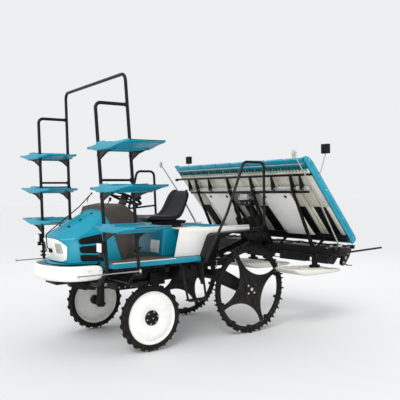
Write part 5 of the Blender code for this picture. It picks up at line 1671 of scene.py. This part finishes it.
    for side_name, side in SIDES:
        x0, x1 = 0.30, 0.80
        foot = on_tray(0, TRAY_LENGTH - 0.147, -0.047)
        top = P(0, PIPE[0] + 0.010, PIPE[1] - 0.026)
        slope = (foot - top).normalized()
        normal = Vector((0, -slope.z, slope.y))
        if normal.y > 0:
            normal = -normal
        bm = bmesh.new()
        rows = []
        length = (foot - top).length
        for k, (t, out) in enumerate((
            (0.0, 0.0), (0.02, 0.008), (0.10, 0.012), (0.45, 0.014), (0.80, 0.012), (0.96, 0.008),
            (1.0, 0.0)
        )):
            rows.append([])
            for u in (0.0, 0.03, 0.10, 0.5, 0.90, 0.97, 1.0):
                edge = 0.006 if u in (0.0, 1.0) else 0.0
                inset = 0.035 * t
                place = top + slope * (length * t) + normal * (out - edge)
                rows[-1].append(
                    bm.verts.new(
                        Vector((x0 + inset + (x1 - x0 - inset * 1.4) * u, place.y, place.z))
                    )
                )
        for one, two in zip(rows, rows[1:]):
            for k in range(6):
                bm.faces.new((one[k], one[k + 1], two[k + 1], two[k]))
        bmesh.ops.recalc_face_normals(bm, faces=bm.faces)
        bmesh.ops.solidify(bm, geom=bm.faces[:], thickness=0.005)
        # The guards take the brighter cream: painted light on their shaded faces.
        made = piece(
            f"planter_guard_{side_name}", mirrored(bm, side), cream_painted_light, "planting_unit",
            smooth=50
        )
        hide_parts(f"planter_cover_{side_name}")
        bm = bmesh.new()
        for x in (0.365, 0.705):
            spot = top + slope * 0.07 + normal * 0.012
            add_lathe(bm, [
                (-0.002, 0.0), (-0.002, 0.020), (0.006, 0.020), (0.009, 0.016), (0.009, 0.0)
            ], Vector((x, spot.y, spot.z)), normal, 24)
        for x in (0.36, 0.70):
            spot = top + slope * (length - 0.05) + normal * 0.012
            add_lathe(bm, [
                (-0.002, 0.0), (-0.002, 0.009), (0.004, 0.009), (0.004, 0.0)
            ], Vector((x, spot.y, spot.z)), normal, 16)
        piece(
            f"guard_knobs_{side_name}", mirrored(bm, side), soft_black, "planting_unit",
        )


def beam_and_floats():
    """Main beam, case arms, guards, floats and their stays."""
    softened("planter_beam", black_low, 0.003, 2)
    softened("hitch_frame", black, 0.003, 2)
    softened("lower_link", black, 0.003, 2)
    softened("top_link", black, 0.003, 2)
    for letter, x in zip("abcd", CASE_X):
        bm = bmesh.new()
        for u in (-0.0405, 0.0405):
            out = 1 if u > 0 else -1
            for share in (0.12, 0.45, 0.86):
                s = BEAM[0] + (ROTOR_AXIS[0] - BEAM[0]) * share
                z = BEAM[1] + (ROTOR_AXIS[1] - BEAM[1]) * share
                for dz in (-0.022, 0.022):
                    add_bolt(bm, P(x + u, s, z + dz), (out, 0, 0), 0.005, 0.005)
            add_lathe(bm, [
                (0.0, 0.019), (0.0, 0.040), (0.006, 0.040), (0.010, 0.030), (0.010, 0.019),
                (0.0, 0.019)
            ], P(x + u, *ROTOR_AXIS), (out, 0, 0), 28)
        piece(f"case_bolts_{letter}", bm, bronze, "planting_unit")
        bm = bmesh.new()
        for u in (-0.14, 0.14):
            c = x + u
            side_prism(bm, (
                (2.235, 0.925), (2.28, 0.915), (2.31, 0.885), (2.302, 0.88), (2.272, 0.908),
                (2.23, 0.917)
            ), c - 0.05, 0.10)
            add_box(bm, P(c - 0.006, 2.20, 0.895), P(c + 0.006, 2.240, 0.92))
        eased(piece(f"picking_lip_{letter}", bm, bronze, "planting_unit"), 0.001, 1)
    bm = bmesh.new()
    add_tube(bm, [P(-1.15, 2.215, 0.915), P(1.15, 2.215, 0.915)], 0.010, sides=14)
    for x in (-1.15, -0.6, 0.0, 0.6, 1.15):
        add_tube(bm, [
            P(x, 1.96, 0.90), P(x, 2.10, 0.89), P(x, 2.215, 0.915)
        ], 0.008, 0.03, sides=10)
    add_rod(bm, P(-1.19, 1.905, 0.81), P(1.19, 1.905, 0.81), 0.014, sides=18)
    for x in (-1.0, -0.5, 0.5, 1.0):
        add_box(bm, P(x - 0.02, 1.892, 0.795), P(x + 0.02, 1.94, 0.835))
    piece("planter_rods", bm, black, "planting_unit")
    bm = bmesh.new()
    for x0, x1 in DRIVE_SPANS:
        add_box(bm, P(x0, 1.985, 0.815), P(x1, 2.19, 0.900))
        add_box(bm, P(x0 + 0.03, 1.90, 0.74), P(x1 - 0.03, 1.985, 0.835))
    for x in CASE_X:
        for u in (-0.052, 0.052):
            add_box(bm, P(x + u - 0.008, 1.96, 0.80), P(x + u + 0.008, 2.26, 0.905))
    eased(piece("drive_covers", bm, cast, "planting_unit"), 0.010, 3)
    bm = bmesh.new()
    for x0, x1 in DRIVE_SPANS:
        add_box(bm, P(x0 + 0.01, 2.01, 0.8995), P(x1 - 0.01, 2.19, 0.904))
    eased(piece("cover_tops", bm, bronze, "planting_unit"), 0.0015, 2)
    for name, x, width in (("left", 0.91, 0.40), ("centre", 0.0, 0.62), ("right", -0.91, 0.40)):
        low, high = 0.62, 0.705
        half = width / 2
        bm = bmesh.new()
        profile = [
            (1.505, high - 0.012, high, 0.86), (1.53, low + 0.032, high + 0.002, 0.94),
            (1.62, low + 0.004, high - 0.004, 1.0), (1.80, low + 0.001, high - 0.010, 1.0),
            (2.00, low + 0.003, low + 0.062, 1.0), (2.15, low + 0.008, low + 0.048, 0.98),
            (2.197, low + 0.018, low + 0.038, 0.92)
        ]
        rows = []
        for s, z0, z1, wide in profile:
            w = half * wide
            ring = [
                (-w, (z0 + z1) / 2), (-w + 0.006, z1 - 0.006), (-w + 0.03, z1), (-0.35 * w, z1),
                (-0.30 * w, z1 - 0.012), (0.30 * w, z1 - 0.012), (0.35 * w, z1), (w - 0.03, z1),
                (w - 0.006, z1 - 0.006), (w, (z0 + z1) / 2), (w - 0.008, z0 + 0.006),
                (w - 0.03, z0), (-w + 0.03, z0), (-w + 0.008, z0 + 0.006)
            ]
            rows.append([bm.verts.new(P(x + a, s, b)) for a, b in ring])
        add_skin(bm, rows)
        made = piece(f"float_mould_{name}", bm, cream_low, "planting_unit", smooth=50)
        smooth = made.modifiers.new("round", "SUBSURF")
        smooth.levels = smooth.render_levels = 1
        settled(made).data.shade_smooth()
        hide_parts(f"float_{name}")
        bm = bmesh.new()
        for k in range(5):
            s = 1.66 + k * 0.09
            z = high - 0.004 - 0.006 * k
            add_box(bm, P(x - half * 0.80, s, z - 0.012), P(x - half * 0.42, s + 0.014, z + 0.004))
            add_box(bm, P(x + half * 0.42, s, z - 0.012), P(x + half * 0.80, s + 0.014, z + 0.004))
        eased(piece(f"float_ribs_{name}", bm, cream_low, "planting_unit"), 0.002, 2)
        bm = bmesh.new()
        for u in ((-0.15, 0.15) if name == "centre" else (0.0,)):
            add_box(bm, P(x + u - 0.035, 1.90, high - 0.030), P(x + u + 0.035, 2.0, high + 0.004))
            add_rod(
                bm, P(x + u - 0.028, 1.95, high + 0.014), P(x + u + 0.028, 1.95, high + 0.014),
                0.008, sides=14
            )
        eased(piece(f"float_bracket_{name}", bm, black_low, "planting_unit"), 0.002, 2)


def rotors():
    """Rotary planting arms with their claws, covers and bolts."""
    for i, x in enumerate(CASE_X, 1):
        node_name = f"planting_rotor_{i}"
        softened(node_name, cast, 0.003, 2)
        bm = bmesh.new()
        for side in (1, -1):
            face = x + side * 0.0985
            for turn in (1, -1):
                for share in (0.35, 1.0):
                    s, z = ROTOR_AXIS[
                        0
                    ] + turn * 0.055 * share, ROTOR_AXIS[1] + turn * 0.085 * share
                    add_lathe(bm, [
                        (0.0, 0.0), (0.0, 0.020), (0.004, 0.020), (0.006, 0.016), (0.006, 0.0)
                    ], P(face, s, z), (side, 0, 0), 20)
                s, z = ROTOR_AXIS[0] + turn * 0.067, ROTOR_AXIS[1] + turn * 0.103
                add_bolt(bm, P(x + side * 0.1525, s, z), (side, 0, 0), 0.006, 0.004)
        piece(f"rotor_caps_{i}", bm, bronze, f"rotor_{i}")
        bm = bmesh.new()
        for side in (1, -1):
            for turn in (1, -1):
                s, z = ROTOR_AXIS[0] + turn * 0.067, ROTOR_AXIS[1] + turn * 0.103
                for u in (0.1375, 0.1485):
                    add_tube(bm, [
                        P(x + side * u, s, z), P(x + side * u, s - turn * 0.06, z + turn * 0.012),
                        P(x + side * u, s - turn * 0.098, z + turn * 0.004)
                    ], 0.0028, 0.02, sides=8)
        piece(f"planting_claws_{i}", bm, steel, f"rotor_{i}")


def marker_arms():
    """Line-marker arms with their star wheels and springs."""
    for side_name, side in SIDES:
        base, tip = P(1.275, 1.95, 0.94), P(1.275, 1.30, 1.90)
        mid = base.lerp(tip, 0.5) + Vector((0.0, 0.02, 0.02))
        bm = bmesh.new()
        add_rod(bm, base - Vector((0, 0.03, 0)), base + Vector((0, 0.03, 0)), 0.0155, sides=24)
        add_tube(bm, [base, mid, tip], 0.0075, 0.3, sides=14)
        add_tube(bm, [
            base + Vector((-0.012, 0, 0.02)), mid + Vector((-0.016, 0, 0.0))
        ], 0.004, sides=10)
        made = piece(
            f"marker_arm_{side_name}", mirrored(bm, side), steel, f"line_marker_{side_name}"
        )
        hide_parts(f"line_marker_{side_name}")
        bm = bmesh.new()
        for k in range(10):
            a = 2 * math.pi * k / 10
            w = 0.20
            outline = [
                tip + Vector((r * math.sin(a + turn), -0.002, r * math.cos(a + turn)))
                for r, turn in (
                    (0.052, 0.0), (0.028, w * 1.6), (0.012, w), (0.012, -w), (0.028, -w * 1.6))
            ]
            add_prism(bm, outline, (0, 0.004, 0))
        add_rod(bm, tip - Vector((0, 0.011, 0)), tip + Vector((0, 0.011, 0)), 0.014, sides=20)
        piece(f"marker_star_{side_name}", mirrored(bm, side), pipe_grey, f"line_marker_{side_name}")
        bm = bmesh.new()
        add_box(bm, P(1.245, 1.925, 0.90), P(1.262, 1.975, 0.925))
        for s in (1.90, 2.0):
            add_bolt(bm, P(1.15, s, 0.911), (0, 0, 1), 0.007, 0.006)
        piece(f"marker_base_{side_name}", mirrored(bm, side), zinc, "planting_unit")


tray()
tray_rear_frame()
beam_and_floats()
rotors()
marker_arms()


# ---------------------------------------------------------------- running gear


def running_gear():
    """Frame, axles, steering knuckles and the lift's cylinder, with their fittings."""
    softened("chassis_frame", black_low, 0.003, 2)
    softened("engine_block", cast, 0.010, 3)
    softened("front_axle", cast, 0.006, 2)
    softened("rear_axle", cast, 0.006, 2)
    softened("lift_cylinder", black, 0.002, 2)
    softened("cylinder_rod", steel, 0.001, 2)
    for side_name, side in SIDES:
        softened(f"knuckle_{side_name}", cast, 0.005, 2)
        bm = bmesh.new()
        for z in (0.30, 0.545):
            add_lathe(bm, [
                (-0.012, 0.0), (-0.012, 0.052), (0.0, 0.056), (0.012, 0.052), (0.012, 0.0)
            ], P(0.47, 0.0, z), (0, 0, 1), 28)
        for k in range(4):
            a = math.pi / 4 + k * math.pi / 2
            add_bolt(
                bm, P(0.47 + 0.043 * math.cos(a), 0.043 * math.sin(a), 0.557), (0, 0, 1), 0.006,
                0.006
            )
        piece(f"knuckle_rings_{side_name}", mirrored(bm, side), cast, f"knuckle_{side_name}")

        bm = bmesh.new()
        for share in (0.16, 0.5, 0.84):
            s, z = 0.93 + (1.245 - 0.93) * share, 0.635 + (0.475 - 0.635) * share
            for off in (-0.040, 0.040):
                add_bolt(bm, P(0.5405, s + off * 0.45, z + off * 0.89), (1, 0, 0), 0.006, 0.005)
        add_lathe(bm, [
            (0.0, 0.0), (0.0, 0.046), (0.005, 0.046), (0.008, 0.040), (0.008, 0.0)
        ], P(0.5402, 0.93, 0.635), (1, 0, 0), 28)
        piece(f"drop_case_bolts_{side_name}", mirrored(bm, side), cast)

        bm = bmesh.new()
        for s in (-0.30, 0.08, 0.34, 0.56):
            add_prism(bm, [
                P(x, s, z)
                for x, z in ((0.226, 0.745), (0.50, 0.792), (0.50, 0.812), (0.226, 0.812))
            ], (0, 0.012, 0))
        add_box(bm, P(0.470, -0.33, 0.782), P(0.500, 0.60, 0.812))
        eased(piece(f"floor_brackets_{side_name}", mirrored(bm, side), black_low), 0.002, 1)

        bm = bmesh.new()
        add_tube(bm, [
            P(0.235, -0.55, 0.775), P(0.245, 0.10, 0.760), P(0.235, 0.45, 0.800),
            P(0.236, 0.90, 0.720), P(0.22, 1.15, 0.74)
        ], 0.009, 0.08, sides=12)
        add_tube(bm, [
            P(0.165, -0.20, 0.705), P(0.15, 0.20, 0.660), P(0.13, 0.55, 0.690), P(0.14, 0.88, 0.66)
        ], 0.007, 0.08, sides=10)
        add_tube(bm, [
            P(0.30, -0.02, 0.655), P(0.34, 0.10, 0.70), P(0.33, 0.30, 0.775), P(0.24, 0.42, 0.79)
        ], 0.006, 0.05, sides=10)
        piece(f"hoses_{side_name}", mirrored(bm, side), soft_black)

        bm = bmesh.new()
        for s in (-0.62, -0.42, -0.15, 0.30, 0.84, 1.10):
            for z in (0.725, 0.755):
                add_bolt(bm, P(0.2255, s, z), (1, 0, 0), 0.006, 0.006)
        for s in (-0.07, 0.0, 0.07):
            add_bolt(bm, P(0.1105, s, 0.560), (1, 0, 0), 0.006, 0.006)
        piece(f"frame_bolts_{side_name}", mirrored(bm, side), zinc)

        bm = bmesh.new()
        for s in (0.50, 0.70):
            add_box(bm, P(0.257, s - 0.012, 0.627), P(0.463, s + 0.012, 0.798))
        eased(piece(f"tank_straps_{side_name}", mirrored(bm, side), black), 0.003, 2)
        bm = bmesh.new()
        side_prism(bm, (
            (0.655, 0.812), (0.745, 0.812), (0.760, 0.64), (0.745, 0.56), (0.715, 0.56),
            (0.69, 0.70)
        ), 0.455, 0.022)
        add_tube(bm, [
            P(0.466, 0.73, 0.58), P(0.40, 0.75, 0.60), P(0.25, 0.80, 0.66)
        ], 0.010, 0.04, sides=12)
        eased(piece(f"rear_bracket_{side_name}", mirrored(bm, side), black_low), 0.002, 1)

    bm = bmesh.new()
    for side in (1, -1):
        for k in range(7):
            z = 0.815 + k * 0.036
            x0, x1 = sorted((side * 0.186, side * 0.201))
            add_box(bm, P(x0, -0.57, z), P(x1, -0.24, z + 0.012))
        add_rod(bm, P(side * 0.19, -0.24, 0.86), P(side * 0.225, -0.24, 0.86), 0.052, sides=32)
        add_rod(bm, P(side * 0.19, -0.45, 0.98), P(side * 0.225, -0.45, 0.98), 0.034, sides=32)
    add_rod(bm, P(-0.12, -0.40, 1.09), P(-0.12, -0.40, 1.13), 0.045, sides=28)
    eased(piece("engine_fins", bm, cast), 0.002, 1)

    bm = bmesh.new()
    add_rod(bm, P(0.0, 0.13, 0.615), P(0.0, 0.90, 0.635), 0.018, sides=20)
    for s in (0.16, 0.86):
        add_rod(bm, P(0.0, s - 0.02, 0.615), P(0.0, s + 0.02, 0.615), 0.034, sides=20)
    for side in (-1, 1):
        add_tube(bm, [
            P(side * 0.10, -0.74, 0.73), P(side * 0.30, -0.70, 0.72), P(side * 0.36, -0.40, 0.72),
            P(side * 0.30, -0.10, 0.70)
        ], 0.008, 0.05, sides=12)
    piece("drive_shaft", bm, black_low)

    bm = bmesh.new()
    add_box(bm, P(-0.30, -0.74, 0.690), P(0.30, -0.69, 0.712))
    for side in (1, -1):
        x = min(side * 0.12, side * 0.37)
        side_prism(bm, (
            (-0.74, 0.702), (-0.44, 0.702), (-0.43, 0.63), (-0.47, 0.605), (-0.56, 0.625)
        ), x, 0.25)
        side_prism(bm, (
            (-0.46, 0.702), (-0.36, 0.702), (-0.36, 0.655), (-0.46, 0.640)
        ), side * 0.36 - 0.02, 0.04)
    add_box(bm, P(-0.14, -0.76, 0.655), P(0.14, -0.66, 0.70))
    add_box(bm, P(-0.16, -0.69, 0.660), P(0.16, -0.40, 0.698))
    add_box(bm, P(-0.15, -0.38, 0.655), P(0.15, -0.14, 0.697))
    for x in (-0.24, 0.24):
        side_prism(bm, (
            (-0.76, 0.70), (-0.55, 0.70), (-0.36, 0.64), (-0.36, 0.66), (-0.54, 0.745),
            (-0.76, 0.745)
        ), x - 0.006, 0.012)
    for side in (1, -1):
        side_prism(bm, (
            (-0.10, 0.66), (0.12, 0.66), (0.22, 0.76), (0.20, 0.80), (-0.06, 0.80)
        ), side * 0.30 - 0.005, 0.010)
        add_box(bm, P(side * 0.33 - 0.055, -0.052, 0.668), P(side * 0.33 + 0.055, 0.052, 0.700))
    for side in (1, -1):
        side_prism(bm, (
            (-0.70, 0.70), (-0.42, 0.70), (-0.40, 0.62), (-0.52, 0.60), (-0.66, 0.64)
        ), side * 0.24 - 0.045, 0.09)
        add_rod(bm, P(side * 0.21, -0.37, 0.66), P(side * 0.21, 0.34, 0.60), 0.016, sides=16)
        add_box(bm, P(side * 0.20 - 0.05, 0.22, 0.57), P(side * 0.20 + 0.05, 0.40, 0.70))
    add_box(bm, P(-0.19, 0.155, 0.58), P(0.19, 0.36, 0.70))
    add_box(bm, P(-0.14, 0.42, 0.60), P(0.20, 0.80, 0.70))
    eased(piece("front_guards", bm, black_low), 0.003, 2)

    bm = bmesh.new()
    add_lathe(bm, [
        (-0.15, 0.0), (-0.15, 0.030), (-0.14, 0.040), (0.14, 0.040), (0.15, 0.030), (0.15, 0.0)
    ], P(-0.36, 0.08, 0.735), (0, 1, 0), 28)
    add_tube(bm, [
        P(-0.36, -0.06, 0.735), P(-0.33, -0.16, 0.73), P(-0.215, -0.26, 0.80)
    ], 0.015, 0.05, sides=16)
    add_tube(bm, [
        P(-0.36, 0.22, 0.735), P(-0.37, 0.30, 0.72), P(-0.43, 0.36, 0.69)
    ], 0.014, 0.04, sides=16)
    piece("muffler", bm, bronze)

    bm = bmesh.new()
    start, end = P(0, 0.74, 0.87), P(0, 1.19, 0.885)
    along = (end - start).normalized()
    for share, r in ((0.10, 0.034), (0.52, 0.033)):
        spot = start.lerp(end, share)
        add_rod(bm, spot - along * 0.010, spot + along * 0.010, r, sides=28)
    add_tube(bm, [
        start + along * 0.06 + Vector((0.0, 0, 0.030)),
        start + along * 0.02 + Vector((0.03, 0, 0.07)), start + Vector((0.05, -0.05, 0.03))
    ], 0.006, 0.03, sides=10)
    piece("cylinder_rings", bm, zinc, "lift_cylinder")


running_gear()


# ---------------------------------------------------------------- setting


def floor_and_backdrop():
    """Plain pale floor, one flat square reaching far past the machine."""
    bm = bmesh.new()
    bmesh.ops.create_grid(bm, x_segments=1, y_segments=1, size=60)
    ground = bpy.data.meshes.new("floor")
    bm.to_mesh(ground)
    bm.free()
    made = bpy.data.objects.new("floor", ground)
    bpy.context.scene.collection.objects.link(made)
    pale = bpy.data.materials.new("pale_floor")
    pale.use_nodes = True
    shader = pale.node_tree.nodes["Principled BSDF"]
    shader.inputs["Base Color"].default_value = (0.66, 0.66, 0.66, 1)
    shader.inputs["Roughness"].default_value = 0.8
    ground.materials.append(pale)


def lamp(name, kind, place, target, power, size=None):
    """A light at a place, aimed at a target."""
    light = bpy.data.lights.new(name, kind)
    light.energy = power
    if kind == "AREA":
        light.shape = "RECTANGLE"
        light.size, light.size_y = size
    else:
        light.angle = math.radians(25)
    made = bpy.data.objects.new(name, light)
    made.location = place
    made.rotation_euler = (Vector(target) - Vector(place)).to_track_quat("-Z", "Y").to_euler()
    bpy.context.scene.collection.objects.link(made)


def studio():
    """Even pale surroundings, a soft sun and four fill lights."""
    world = bpy.data.worlds.new("studio")
    world.use_nodes = True
    back = world.node_tree.nodes["Background"]
    back.inputs["Color"].default_value = (0.97, 0.98, 1.0, 1)
    back.inputs["Strength"].default_value = 0.88
    bpy.context.scene.world = world
    bpy.context.scene.view_settings.view_transform = "Standard"
    lamp("key", "SUN", (4.5, -5.0, 6.5), (0, 0, 0.9), 2.0)
    lamp("fill", "AREA", (5.0, 4.0, 3.0), (0, 0.5, 0.9), 45, (4, 3))
    lamp("front", "AREA", (-3.5, -6.0, 3.0), (0, 0, 0.9), 50, (4, 3))
    lamp("low", "AREA", (5.0, -3.5, 0.9), (0, 0, 0.4), 55, (3, 1.2))
    lamp("back", "AREA", (-5.0, 4.5, 4.5), (0, 0, 1.0), 60, (4, 3))


def camera():
    """The photograph's viewpoint, slightly rolled."""
    ahead = Vector((-0.8187, 0.5740, -0.0160)).normalized()
    level = ahead.cross(Vector((0, 0, 1))).normalized()
    lift = level.cross(ahead)
    roll = -0.0122
    right = level * math.cos(roll) + lift * math.sin(roll)
    up = lift * math.cos(roll) - level * math.sin(roll)
    eye = bpy.data.cameras.new("camera")
    eye.lens = 54.64
    eye.sensor_width = 36
    made = bpy.data.objects.new("camera", eye)
    made.matrix_world = Matrix.Translation((5.711, AXLE_Y - 2.964, 1.552)) @ Matrix(
        (right, up, -ahead)
    ).transposed().to_4x4()
    bpy.context.scene.collection.objects.link(made)
    bpy.context.scene.camera = made


floor_and_backdrop()
studio()
camera()
